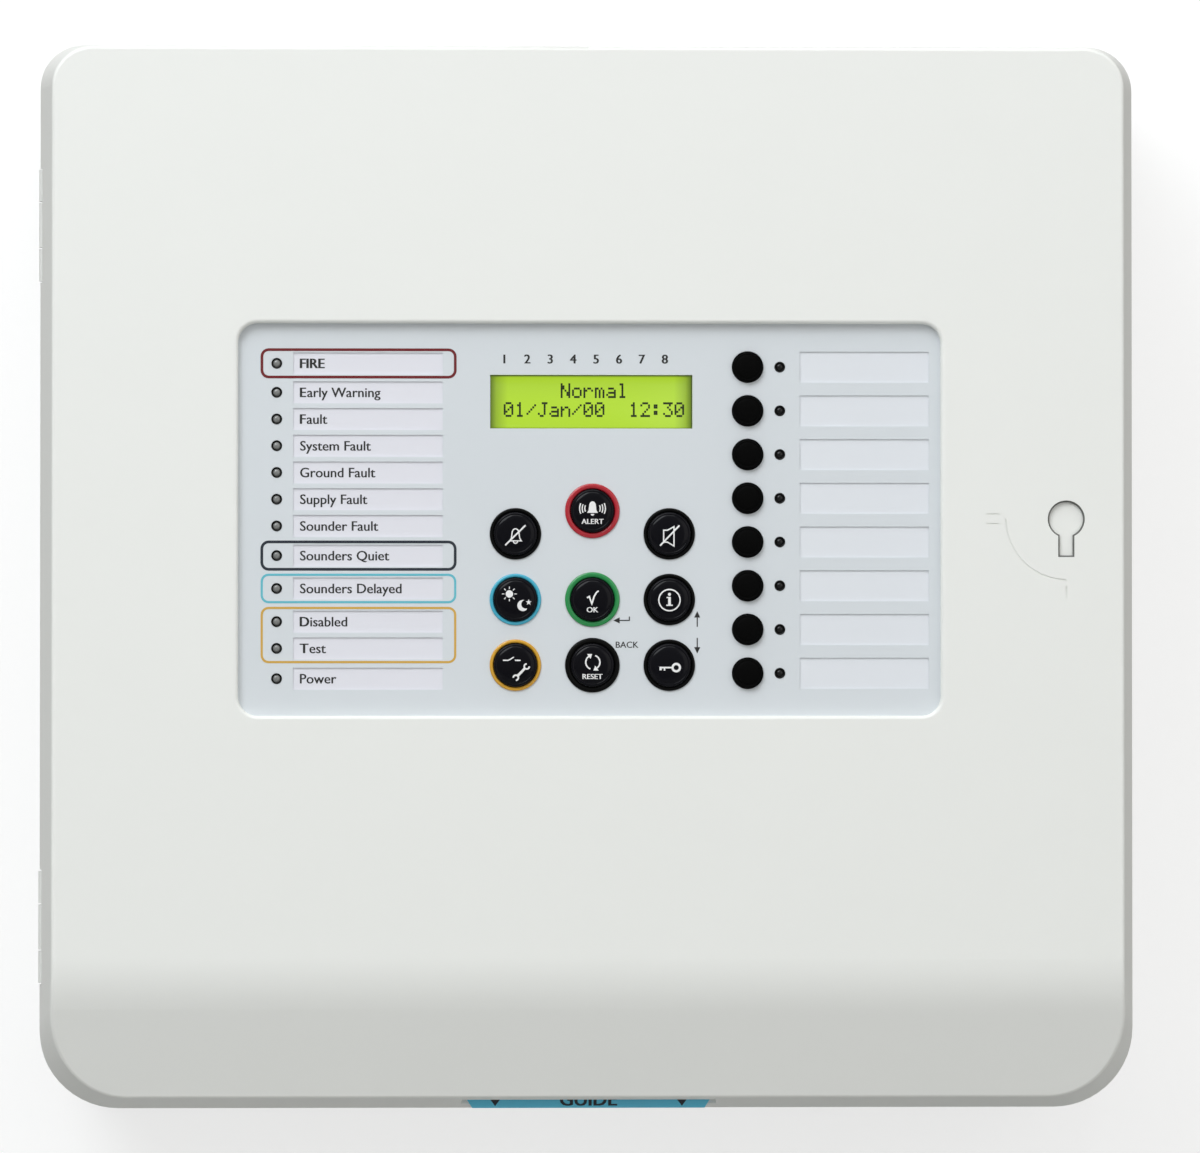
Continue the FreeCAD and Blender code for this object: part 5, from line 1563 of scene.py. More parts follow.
@dataclass
class Fascia:
    """The printed sheet: its label cards, status words, frames, digits and small marks."""

    words: tuple[str, ...] = ("FIRE", "Early Warning", "Fault", "System Fault", "Ground Fault",
                              "Supply Fault", "Sounder Fault", "Sounders Quiet", "Sounders Delayed",
                              "Disabled", "Test", "Power")
    bold: tuple[int, ...] = (0,)
    half_bold: tuple[int, ...] = (1, 2, 9, 10)
    capital: float = 2.95
    word_inset: float = 3.8
    frame_reach: Range = (-4.6, 55.4)
    frame_height: float = 8.5
    frame_line: float = 0.85
    frame_groups: tuple[tuple[int, int], ...] = ((0, 0), (7, 7), (8, 8), (9, 10))
    digit_pitch: float = 7.13
    digit_height: float = 2.75
    light_weight: float = 0.075
    ink: float = 0.04
    rows: list[float] = field(init=False)
    lamp_x: float = field(init=False)
    front: float = field(init=False)

    def build(self) -> None:
        """Dresses the sheet and its cards, and prints on them."""
        dress(OVERLAY, "fascia_overlay")
        dress(PAPER, "status_label_card")
        dress(ZONE_PAPER, "zone_label_card")
        lamps = islands("indicator_leds")
        card = island("status_label_card")
        self.rows = sorted((lamp.centre[1] for lamp in lamps if lamp.centre[0] < card.x[0]), reverse=True)
        self.lamp_x = min(lamp.centre[0] for lamp in lamps)
        self.front = island("fascia_overlay").depth[1]
        self.status_words(card)
        self.frames()
        self.small_marks()

    def status_words(self, card: Island) -> None:
        """Prints the word beside each status lamp.

        Args:
            card: The label card's reach.
        """
        span = (card.depth[1] - 0.02, card.depth[1] + self.ink)
        former = Former("status_words", INK_BLACK)
        left = card.x[0] + self.word_inset
        for number, (text, z) in enumerate(zip(self.words, self.rows)):
            foot = z - self.capital / 2
            if number in self.bold:
                former.words(text, left, foot, self.capital, span, 0.17)
            elif number in self.half_bold:
                former.words(text[0], left, foot, self.capital, span, 0.15)
                step = max(point.x for point in Lettering.outline(text[0])[0]) + 0.16
                rest = left + step * self.capital
                former.words(text[1:], rest, foot, self.capital, span, self.light_weight)
            else:
                former.words(text, left, foot, self.capital, span, self.light_weight)
        former.finish("door", "overlay_film")

    def frames(self) -> None:
        """Prints the coloured frames round the rows that belong together."""
        former = Former("status_frames", INK_RED, INK_NAVY, INK_CYAN, INK_AMBER)
        span = (self.front - 0.02, self.front + self.ink)
        width = self.frame_reach[1] - self.frame_reach[0]
        x = self.lamp_x + sum(self.frame_reach) / 2
        for paint, (top, low) in enumerate(self.frame_groups):
            z = (self.rows[top] + self.rows[low]) / 2
            height = self.frame_height + self.rows[top] - self.rows[low]
            line = 0.7 if paint > 1 else self.frame_line
            former.band(rounded(x, z, width, height, 2.1), line, span, True, paint)
        former.finish("door", "overlay_film")

    def small_marks(self) -> None:
        """Prints the digits over the display and the arrows and word beside the keys."""
        former = Former("fascia_marks", INK_BLACK)
        span = (self.front - 0.02, self.front + self.ink)
        glass = island("lcd_glass")
        middle = glass.centre[0] - 2.1
        for number in range(8):
            x = middle + (number - 3.5) * self.digit_pitch
            former.words(str(number + 1), x, glass.z[1] + 3.6, self.digit_height, span, 0.12, True)
        accept = island("key_acknowledge")
        info = island("key_information")
        reset = island("key_reset")
        access = island("key_access")
        self.arrow(former, [(accept.x[1] + 3.6, accept.z[0] + 2.6), (accept.x[1] + 3.6, accept.z[0] + 1.4),
                            (accept.x[1] - 1.4, accept.z[0] + 1.4)], span)
        right = info.x[1] + 0.8
        gap = (info.z[0] + access.z[1]) / 2
        self.arrow(former, [(right, gap + 1.7), (right, gap + 6.6)], span)
        self.arrow(former, [(right, gap - 1.7), (right, gap - 6.6)], span)
        former.words("BACK", reset.x[1] - 0.6, reset.z[1] - 2.5, 1.9, span, 0.04)
        former.finish("door", "overlay_film")

    def arrow(self, former: Former, path: Sequence[Point], span: Range) -> None:
        """Adds a thin arrow that points along the last run of its path.

        Args:
            former: The piece that it is added to.
            path: Its line, whose last point is its tip.
            span: Its depths.
        """
        (x0, z0), (x1, z1) = path[-2:]
        run = Vector((x1 - x0, z1 - z0)).normalized()
        side = Vector((-run.y, run.x))
        neck = (x1 - run.x * 2.0, z1 - run.y * 2.0)
        former.band(list(path[:-1]) + [neck], 0.34, span)
        former.slab([(x1, z1), (neck[0] + side.x * 0.95, neck[1] + side.y * 0.95),
                     (neck[0] - side.x * 0.95, neck[1] - side.y * 0.95)], span)


# ---------------------------------------------------------------- the works inside

def eased_path(points: Sequence[Place], radius: float, steps: int = 8) -> list[Vector]:
    """A line through corners given as (x, depth, z), with the corners rounded.

    Args:
        points: The corners, in millimetres.
        radius: How far from a corner its bend starts.
        steps: How many steps each bend has.

    Returns:
        Places in the frame.
    """
    corners = [at(*point) for point in points]
    path = [corners[0]]
    for before, here, after in zip(corners, corners[1:], corners[2:]):
        start = here + (before - here).normalized() * radius * MM
        end = here + (after - here).normalized() * radius * MM
        for step in range(steps + 1):
            share = step / steps
            path.append(start.lerp(here, share).lerp(here.lerp(end, share), share))
    return path + [corners[-1]]


def carve(piece: bpy.types.Object, cutter: bpy.types.Object) -> None:
    """Cuts one mesh out of another for good, and removes the cutter.

    Args:
        piece: The piece that is cut.
        cutter: The mesh that is cut out of it.
    """
    cut = piece.modifiers.new("Recess", "BOOLEAN")
    cut.object = cutter
    cut.solver = "EXACT"
    graph = bpy.context.evaluated_depsgraph_get()
    mesh = bpy.data.meshes.new_from_object(piece.evaluated_get(graph), depsgraph=graph)
    piece.modifiers.remove(cut)
    piece.data = mesh
    mesh.set_sharp_from_angle(angle=math.radians(35))
    LOG.info("%s: %d faces after cutting", piece.name, len(mesh.polygons))
    bpy.data.objects.remove(cutter)


@dataclass
class FlatCable:
    """The display's flat cable, bent round near the hinge, with a socket on each end."""

    half_width: float = 12.7
    thickness: float = 0.9
    level: float = 52.0
    fold_start: float = 56.0
    fold_end: float = 75.4
    bend: float = 5.0

    def build(self) -> None:
        """Makes the cable and its sockets."""
        main = island("ribbon_header_main")
        door = island("ribbon_header_door")
        turn = island("ribbon_door_half").x[0] + self.thickness / 2
        z = island("ribbon_door_half").z
        middle = sum(z) / 2
        back = door.depth[0] - 0.2
        corners = [(main.centre[0], main.depth[1], middle), (main.centre[0], self.level, middle),
                   (turn, self.level, middle), (turn, back, middle), (door.centre[0], back, middle)]
        self.cable(eased_path(corners, self.bend, 14))
        self.sockets(main, door)

    def cable(self, path: Sequence[Vector]) -> None:
        """Makes the cable with a rounded edge, bent round near the hinge.

        Args:
            path: Its middle line.
        """
        fine: list[Vector] = []
        for start, end in zip(path, path[1:]):
            count = max(int((end - start).length / (2 * MM)), 1)
            fine += [start.lerp(end, step / count) for step in range(count)]
        fine.append(path[-1])
        former = Former("display_flat_cable", RIBBON)
        rings = []
        half = self.half_width
        thick = self.thickness / 2
        section = [(-half, 0), (-half + thick, -thick), (half - thick, -thick), (half, 0),
                   (half - thick, thick), (-half + thick, thick)]
        for index, place in enumerate(fine):
            along = (fine[min(index + 1, len(fine) - 1)] - fine[max(index - 1, 0)]).normalized()
            across = along.cross(Vector((0, 0, 1))).normalized()
            rings.append([place + Vector((0, 0, rise * MM)) + across * out * MM for rise, out in section])
        former.loft(rings)
        piece = former.finish("", "ribbon_grey", "ribbon_housing_half", "ribbon_door_half")
        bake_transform(piece)

    def sockets(self, main: Island, door: Island) -> None:
        """Makes the socket and the strain relief at each end, and dresses the headers.

        Args:
            main: The main board's header.
            door: The display board's header.
        """
        dress(BLACK, "ribbon_header_main", "ribbon_header_door", eased=0.3)
        ends = ((main, "housing", main.depth[1], 1), (door, "door", door.depth[0], -1))
        for header, body, face, out in ends:
            former = Former(f"flat_cable_socket_{body}", BLACK, ALUMINIUM)
            x, z = header.centre
            depths = sorted((face - 2.4 * out, face + 1.6 * out))
            former.pad(x, z, 5.6, header.height - 1.6, (depths[0], depths[1]), 0.4, 0.3)
            clip = sorted((face + 1.2 * out, face + 2.5 * out))
            former.pad(x, z, 3.2, header.height - 3.0, (clip[0], clip[1]), 0.4, 0.3)
            for side in (-1, 1):
                former.pad(x, z + side * (header.height / 2 - 0.4), 4.4, 1.6,
                           tuple(sorted((face - 3.0 * out, face + 3.0 * out))), 0.3, 0.3)
            former.finish(body, "black_plastic")


@dataclass
class InformationCard:
    """The pull-out card with its printed table and its marked tip."""

    ink: float = 0.05
    lines: int = 12
    line_pitch: float = 7.2

    def build(self) -> None:
        """Dresses the card and prints on it."""
        dress(CARD_BLUE, "info_card")
        card = island("info_card")
        x = card.centre[0]
        front = card.depth[1]
        span = (front - 0.02, front + self.ink)
        row = (front, front + self.ink + 0.03)
        former = Former("card_print", INK_NAVY, PAPER)
        for place in (-28.9, 29.6):
            former.slab([(place - 1.5, card.z[0] + 2.6), (place + 1.5, card.z[0] + 2.6),
                         (place, card.z[0] + 0.6)], span)
        former.words("GUIDE", x, card.z[0] + 0.7, 4.2, span, 0.2, True)
        former.pad(x, card.z[0] + 60, 68, 96, span, 2.0, 0.01, 1)
        top = card.z[0] + 101
        for line in range(self.lines):
            z = top - line * self.line_pitch
            low = z - self.line_pitch / 2
            former.band([(x - 30, z), (x + 30, z)], 0.25, row)
            former.band([(x - 28, low), (x - 12 + 3 * (line % 3), low)], 1.1, row)
            former.band([(x - 2, low), (x + 14 + 4 * (line % 4), low)], 0.8, row)
        former.finish("card", "card_paper")


@dataclass
class Batteries:
    """The two standby batteries, their labels, lids, terminal sleeves and leads."""

    label_width: float = 92.0
    label_height: float = 44.0
    vents: tuple[int, ...] = (-50, -30, 30, 50)
    sleeve: Range = (38.0, 42.0)

    def build(self) -> None:
        """Dresses the cases and leads, and adds what stands on them."""
        dress(BATTERY, "battery_left", "battery_right", eased=1.4)
        dress(TIN, "battery_terminals")
        dress(LEAD_RED, "battery_lead_red")
        dress(LEAD_BLACK, "battery_lead_black", "battery_link_lead")
        for node in ("battery_left", "battery_right"):
            self.details(node)
        former = Former("battery_terminal_sleeves", LEAD_RED, LEAD_BLACK)
        paints = (1, 0, 1, 0)
        for tab, paint in zip(sorted(islands("battery_terminals"), key=lambda t: t.x[0]), paints):
            x = tab.centre[0]
            former.pad(x, tab.z[1] - 0.2, 8.2, 7.4, self.sleeve, 1.4, 0.6, paint)
            former.pad(x, tab.z[1] + 4.4, 5.0, 3.0, self.sleeve, 1.2, 0.6, paint)
        former.finish("housing", "lead_black")

    def details(self, node: str) -> None:
        """Adds a battery's label, lid and vent caps.

        Args:
            node: The battery's CAD node.
        """
        case = island(node)
        x, z = case.centre
        front = case.depth[1]
        top = case.z[1]
        former = Former(f"{node}_details", BATTERY, BATTERY_LABEL, INK_BLACK, LEAD_RED)
        middle = sum(case.depth) / 2
        lid = [(0, top - 0.5), (9, top - 0.5), (9, top + 0.9), (8.2, top + 1.3), (0, top + 1.3)]
        former.turned(Axis.UPRIGHT, (x, middle), lid, 0, 40)
        vent = [(0, top - 0.5), (5.4, top - 0.5), (5.4, top + 0.5), (4.8, top + 0.9), (0, top + 0.9)]
        for place in self.vents:
            former.turned(Axis.UPRIGHT, (x + place, middle), vent, 0, 28)
        former.pad(x, top - 12.0, case.width - 6, 1.2, (front - 0.5, front + 0.35), 0.5, 0.3, 0)
        former.pad(x, z - 6, self.label_width, self.label_height, (front - 0.3, front + 0.15), 2.0, 0.05, 1)
        ink = (front + 0.1, front + 0.2)
        former.pad(x, z + 12.5, self.label_width - 4, 3.0, ink, 0.5, 0.02, 2)
        former.words("12 V  7 Ah", x, z - 4, 9.0, ink, 0.3, True, 1.0, 2)
        former.words("Sealed lead-acid battery", x, z - 14, 3.6, ink, 0.0, True, 1.0, 2)
        for line in range(3):
            low = z - 18 - line * 2.6
            former.band([(x - 36, low), (x + 30 - 7 * line, low)], 0.7, ink, False, 2)
        for side, sign, paint in ((-1, "-", 2), (1, "+", 3)):
            former.words(sign, x + side * (case.width / 2 - 12), top - 9, 6.0, (front - 0.1, front + 0.12),
                         0.3, True, 1.0, paint)
        former.finish("housing", "battery_case")


CERAMIC = Finish("ceramic_chip", (0.36, 0.26, 0.15), 0.4, grain=4000, depth=0.003, mottle=0.3)
RESISTOR = Finish("resistor_chip", grey(0.03), 0.35, grain=4000, depth=0.003, mottle=0.3)
VARISTOR = Finish("varistor_disc", (0.03, 0.12, 0.42), 0.4, grain=2500, depth=0.01, mottle=0.15)
CHIP = Finish("chip_case", grey(0.022), 0.5, grain=4500, depth=0.006, mottle=0.25)
ANODISED = Finish("anodised_fins", grey(0.03), 0.4, metallic=0.8, grain=1500, depth=0.008, brushed=True)


class Paint(IntEnum):
    """The finishes of a board's small parts, in the order that their piece has them."""

    CASE = 0
    TIN = 1
    CERAMIC = 2
    RESISTOR = 3
    PRINT = 4
    BLUE = 5
    METAL = 6
    WHITE = 7
    SLEEVE = 8


@dataclass
class BoardFace:
    """One face of a circuit board, and the small parts that stand on it."""

    name: str
    body: str
    face: float
    out: int = 1
    finishes: tuple[Finish, ...] = (CHIP, TIN, CERAMIC, RESISTOR, INK_WHITE, VARISTOR, ALUMINIUM, MAINS)
    leg: Point = (0.4, 1.3)
    fin_pitch: float = 3.0
    former: Former = field(init=False)

    def __post_init__(self) -> None:
        """Starts the piece that holds the small parts."""
        self.former = Former(self.name, *self.finishes)

    def depth(self, height: float) -> float:
        """The depth at a height over the face."""
        return self.face + height * self.out

    def span(self, low: float, high: float) -> Range:
        """The depths of a part between two heights over the face."""
        first, second = sorted((self.depth(low), self.depth(high)))
        return (first, second)

    def chip(self, x: float, z: float, width: float, height: float, pins: int, sides: str = "TB",
             rise: float = 1.6) -> None:
        """Adds a chip with legs.

        Args:
            x: Its middle across.
            z: Its middle's height.
            width: Its case's width.
            height: Its case's height.
            pins: How many legs each side has.
            sides: Which sides have legs: T, B, L and R.
            rise: How high its case stands.
        """
        self.former.pad(x, z, width, height, self.span(0.15, rise), 0.3, 0.15, Paint.CASE)
        for side in sides:
            flat = side in "TB"
            reach = (width if flat else height) * 0.86
            for pin in range(pins):
                along = reach * ((pin + 0.5) / pins - 0.5)
                off = ((height if flat else width) / 2 + 0.6) * (1 if side in "TR" else -1)
                px, pz = (x + along, z + off) if flat else (x + off, z + along)
                size = self.leg if flat else self.leg[::-1]
                self.block(px, pz, *size, (0.0, 0.35), Paint.TIN)
        dimple = [(0.35, self.depth(rise - 0.1)), (0.35, self.depth(rise + 0.02))]
        corner = (x - width / 2 + 1.0, z + height / 2 - 1.0)
        self.former.turned(Axis.DEPTH, corner, dimple, Paint.RESISTOR, 10)

    def block(self, x: float, z: float, width: float, height: float, rise: Range, paint: int) -> None:
        """Adds a small square-edged part.

        Args:
            x: Its middle across.
            z: Its middle's height.
            width: Its width.
            height: Its height.
            rise: The heights over the face that it lies between.
            paint: Which finish it has.
        """
        self.former.slab(rectangle(x, z, width, height), self.span(*rise), paint)

    def passives(self, x: float, z: float, count: int, step: Point, upright: bool = True) -> None:
        """Adds a row of small chips with tinned ends.

        Args:
            x: The first one's place across.
            z: The first one's height.
            count: How many there are.
            step: From each one to the next.
            upright: Whether their ends lie above and below.
        """
        for number in range(count):
            px = x + step[0] * number
            pz = z + step[1] * number
            paint = Paint.CERAMIC if (number + int(x)) % 3 == 0 else Paint.RESISTOR
            size = (1.2, 1.3) if upright else (1.3, 1.2)
            ends = ((0, 0.85), (0, -0.85)) if upright else ((0.85, 0), (-0.85, 0))
            self.block(px, pz, *size, (0.0, 0.6), paint)
            cap = (1.2, 0.45) if upright else (0.45, 1.2)
            for u, v in ends:
                self.block(px + u, pz + v, *cap, (0.0, 0.62), Paint.TIN)

    def outline(self, x: float, z: float, width: float, height: float) -> None:
        """Prints a part's outline."""
        self.former.band(rounded(x, z, width, height, 0.5), 0.2, self.span(-0.02, 0.03), True,
                         Paint.PRINT)

    def bump(self, x: float, z: float, radius: float = 0.7, rise: float = 0.6) -> None:
        """Adds a solder joint.

        Args:
            x: Its middle across.
            z: Its middle's height.
            radius: Its radius.
            rise: How far it stands up.
        """
        profile = [(radius, self.depth(-0.05)), (radius * 0.8, self.depth(rise * 0.35)),
                   (radius * 0.35, self.depth(rise))]
        self.former.turned(Axis.DEPTH, (x, z), profile, Paint.TIN, 8)

    def standing(self, x: float, z: float, radius: float, rise: float, paint: int, cap: int) -> None:
        """Adds a standing can with a crimped foot and a scored top.

        Args:
            x: Its middle across.
            z: Its middle's height.
            radius: Its radius.
            rise: How far it stands up.
            paint: Which finish it has.
            cap: Which finish its top has.
        """
        steps = [(0, 0), (radius, 0), (radius, 1.4), (radius - 0.35, 1.9), (radius, 2.4),
                 (radius, rise - 0.8), (radius - 0.5, rise - 0.15), (radius - 1.0, rise - 0.15)]
        profile = [(wide, self.depth(high)) for wide, high in steps]
        self.former.turned(Axis.DEPTH, (x, z), profile, paint, 32)
        top = self.span(rise - 0.4, rise - 0.08)
        for turn in (0, 120, 240):
            a = math.radians(turn + 90)
            wedge = [(x + 0.2 * math.cos(a), z + 0.2 * math.sin(a))]
            wedge += arc(x, z, radius - 1.1, turn + 25, 130, 8)
            self.former.slab(wedge, top, cap)

    def heat_sink(self, x: float, z: float) -> None:
        """Adds a finned heat sink with a transistor screwed to it, as a piece of its own.

        Args:
            x: Its middle across.
            z: The height of its back.
        """
        fins = Former(f"heat_sink_{self.name}", ANODISED, CHIP, TIN)
        fins.pad(x, z, 26, 2.4, self.span(0.5, 22), 0.4, 0.3)
        for number in range(9):
            fins.pad(x - 12 + number * self.fin_pitch, z - 4.6, 1.0, 8.0, self.span(0.8, 22), 0.3, 0.2)
        fins.pad(x, z + 3.4, 10.2, 4.4, self.span(5, 14), 0.4, 0.3, 1)
        fins.pad(x, z + 1.9, 10.2, 1.3, self.span(5, 20.5), 0.4, 0.2, 2)
        for leg in (-2.54, 0, 2.54):
            fins.pad(x + leg, z + 3.4, 0.8, 0.6, self.span(0.0, 5.4), 0.1, 0.05, 2)
        fins.finish("housing", "black_plastic")

    def finish(self) -> None:
        """Makes the piece."""
        self.former.finish(self.body, "black_plastic")


@dataclass
class MainBoard:
    """The main board: its parts, terminals, relays, capacitors and fuses."""

    slot_width: float = 0.5
    terminal_pitch: float = 5.08
    varistor_pitch: float = 10.16
    varistor_height: float = 94.6
    driver_pitch: int = 17
    switch_pitch: float = 2.3
    pin_pitch: float = 2.54
    face: float = field(init=False)

    def build(self) -> None:
        """Dresses the board and adds every part that stands on it."""
        dress(BOARD, "main_board")
        dress(TERMINAL, "zone_terminals", "output_terminals")
        dress(RELAY, "relays", eased=0.5)
        self.face = island("main_board").depth[1]
        self.small_parts()
        self.capacitors()
        self.fuses()
        self.terminal_screws()

    def small_parts(self) -> None:
        """Adds chips, passives, varistors, marks and a heat sink."""
        board = BoardFace("main_board_parts", "housing", self.face)
        former = board.former
        board.chip(18, 22, 14, 14, 16, "TBLR")
        board.outline(18, 22, 19, 19)
        for step in range(5):
            board.chip(-16 + step * self.driver_pitch, 58, 10, 4, 8)
            board.passives(-20 + step * self.driver_pitch, 51.5, 5, (2.2, 0))
        for step in range(3):
            board.chip(-14, 34 - step * 12, 5, 8, 5, "LR")
        board.chip(52, 12, 10, 7.5, 10)
        board.chip(52, -4, 8, 5, 4)
        board.passives(34, 34, 10, (0, -2.6), False)
        board.passives(0, 34, 10, (0, -2.6), False)
        board.passives(66, 40, 8, (2.4, 0))
        former.pad(34, 2, 11, 4.4, board.span(0.3, 3.4), 2.1, 0.5, Paint.METAL)
        for number in range(8):
            x = -26.5 + number * self.varistor_pitch
            disc = [(3.6, x - 1.6), (4.0, x - 1.2), (4.0, x + 1.2), (3.6, x + 1.6)]
            former.turned(Axis.ACROSS, (self.face + 4.6, self.varistor_height), disc, Paint.BLUE, 24)
            board.passives(x - 2.4, 86.5, 3, (2.4, 0))
            board.outline(x, self.varistor_height, 5.4, 9.4)
        for relay in islands("relays"):
            x, z = relay.centre
            board.outline(x, z, relay.width + 2, relay.height + 2)
            self.relay_mark(former, relay)
        board.heat_sink(66, -24)
        former.pad(-8, -26, 22, 9, board.span(0.0, 5.0), 0.6, 0.4, Paint.BLUE)
        for way in range(8):
            x = -15.9 + way * self.switch_pitch
            former.pad(x, -26, 1.2, 3.4, board.span(4.6, 5.5), 0.2, 0.15, Paint.WHITE)
        pin = [(0.4, self.face), (0.4, self.face + 8.0)]
        for number in range(6):
            former.turned(Axis.DEPTH, (24 + number * self.pin_pitch, -31), pin, Paint.TIN, 6)
        former.pad(30.3, -31, 16, 3.0, board.span(0.0, 2.6), 0.3, 0.2, Paint.CASE)
        for x in range(-36, 146, 13):
            board.bump(x, 66.5, 0.6, 0.3)
            board.bump(x + 5, 44.5, 0.5, 0.3)
        board.finish()

    def relay_mark(self, former: Former, relay: Island) -> None:
        """Prints a contact symbol on a relay's lid.

        Args:
            former: The piece that it is added to.
            relay: The relay's reach.
        """
        x, z = relay.centre
        span = (relay.depth[1] - 0.02, relay.depth[1] + 0.04)
        former.band(rounded(x, z, 9, 6, 0.6), 0.3, span, True, Paint.PRINT)
        blade = [(x - 3, z - 1.6), (x - 1, z - 1.6), (x + 2.4, z + 1.4)]
        former.band(blade, 0.3, span, False, Paint.PRINT)

    def capacitors(self) -> None:
        """Replaces the capacitors with sleeved cans."""
        board = BoardFace("main_capacitors", "housing", self.face, finishes=(SLEEVE, ALUMINIUM, INK_WHITE))
        for can in islands("capacitors"):
            x, z = can.centre
            board.standing(x, z, can.width / 2, can.depth[1] - self.face, 0, 1)
            stripe = [(x + u, z + v) for u, v in arc(0, 0, can.width / 2 + 0.03, 150, 60, 6)]
            board.former.band(stripe, 0.1, (self.face + 3.2, can.depth[1] - 1.2), False, 2)
        board.former.finish("housing", "capacitor_sleeve", "capacitors")

    def fuses(self) -> None:
        """Replaces the fuses with glass fuses in spring clips."""
        former = Former("fuse_holders", FUSE_GLASS, TIN, BLACK)
        for fuse in islands("fuses"):
            z = fuse.centre[1]
            left, right = fuse.x
            depth = fuse.depth[1] - 2.7
            glass = [(0, left + 4), (2.3, left + 4), (2.3, right - 4), (0, right - 4)]
            former.turned(Axis.ACROSS, (depth, z), glass, 0, 24)
            for start, end in ((left + 0.2, left + 5.2), (right - 5.2, right - 0.2)):
                cap = [(0, start), (2.4, start), (2.6, start + 0.2), (2.6, end - 0.2), (2.4, end), (0, end)]
                former.turned(Axis.ACROSS, (depth, z), cap, 1, 24)
            for middle in (left + 2.6, right - 2.6):
                for side in (-1, 1):
                    former.pad(middle, z + side * 2.45, 3.6, 0.4, (self.face, depth + 1.9), 0.1, 0.1, 1)
                former.pad(middle, z, 4.0, 5.6, (self.face, self.face + 0.9), 0.2, 0.1, 1)
            foot = (self.face, self.face + 0.6)
            former.pad((left + right) / 2, z, right - left - 1, 5.8, foot, 0.5, 0.1, 2)
        former.finish("housing", "fuse_holder", "fuses")

    def terminal_screws(self) -> None:
        """Adds the slotted screws in the terminal strips."""
        former = Former("terminal_screws", ZINC)
        cutter = Former("terminal_slots", ZINC)
        for node in ("zone_terminals", "output_terminals"):
            for strip in islands(node):
                ways = round(strip.width / self.terminal_pitch)
                seat = strip.depth[1] - 2.4
                head = [(0, seat - 0.4), (1.5, seat - 0.4), (1.5, seat + 0.9), (1.2, seat + 1.2),
                        (0, seat + 1.3)]
                for way in range(ways):
                    x = strip.x[0] + self.terminal_pitch * (way + 0.5)
                    z = strip.centre[1]
                    former.turned(Axis.DEPTH, (x, z), head, 0, 20)
                    turn = math.radians((way * 37) % 90)
                    u = math.cos(turn) * 1.8
                    v = math.sin(turn) * 1.8
                    cutter.band([(x - u, z - v), (x + u, z + v)], self.slot_width, (seat + 0.6, seat + 2))
        cut_out(former, cutter, "housing", "steel")


def cut_out(former: Former, cutter: Former, body: str, slot: str, *replaced: str) -> None:
    """Makes a piece with recesses cut in it.

    Args:
        former: The piece.
        cutter: The recesses.
        body: The body that the piece moves with.
        slot: The record's material slot.
        *replaced: The CAD nodes that the piece stands for.
    """
    tool = cutter.finish("", slot)
    piece = former.finish("", slot, *replaced)
    carve(piece, tool)
    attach(piece, body)


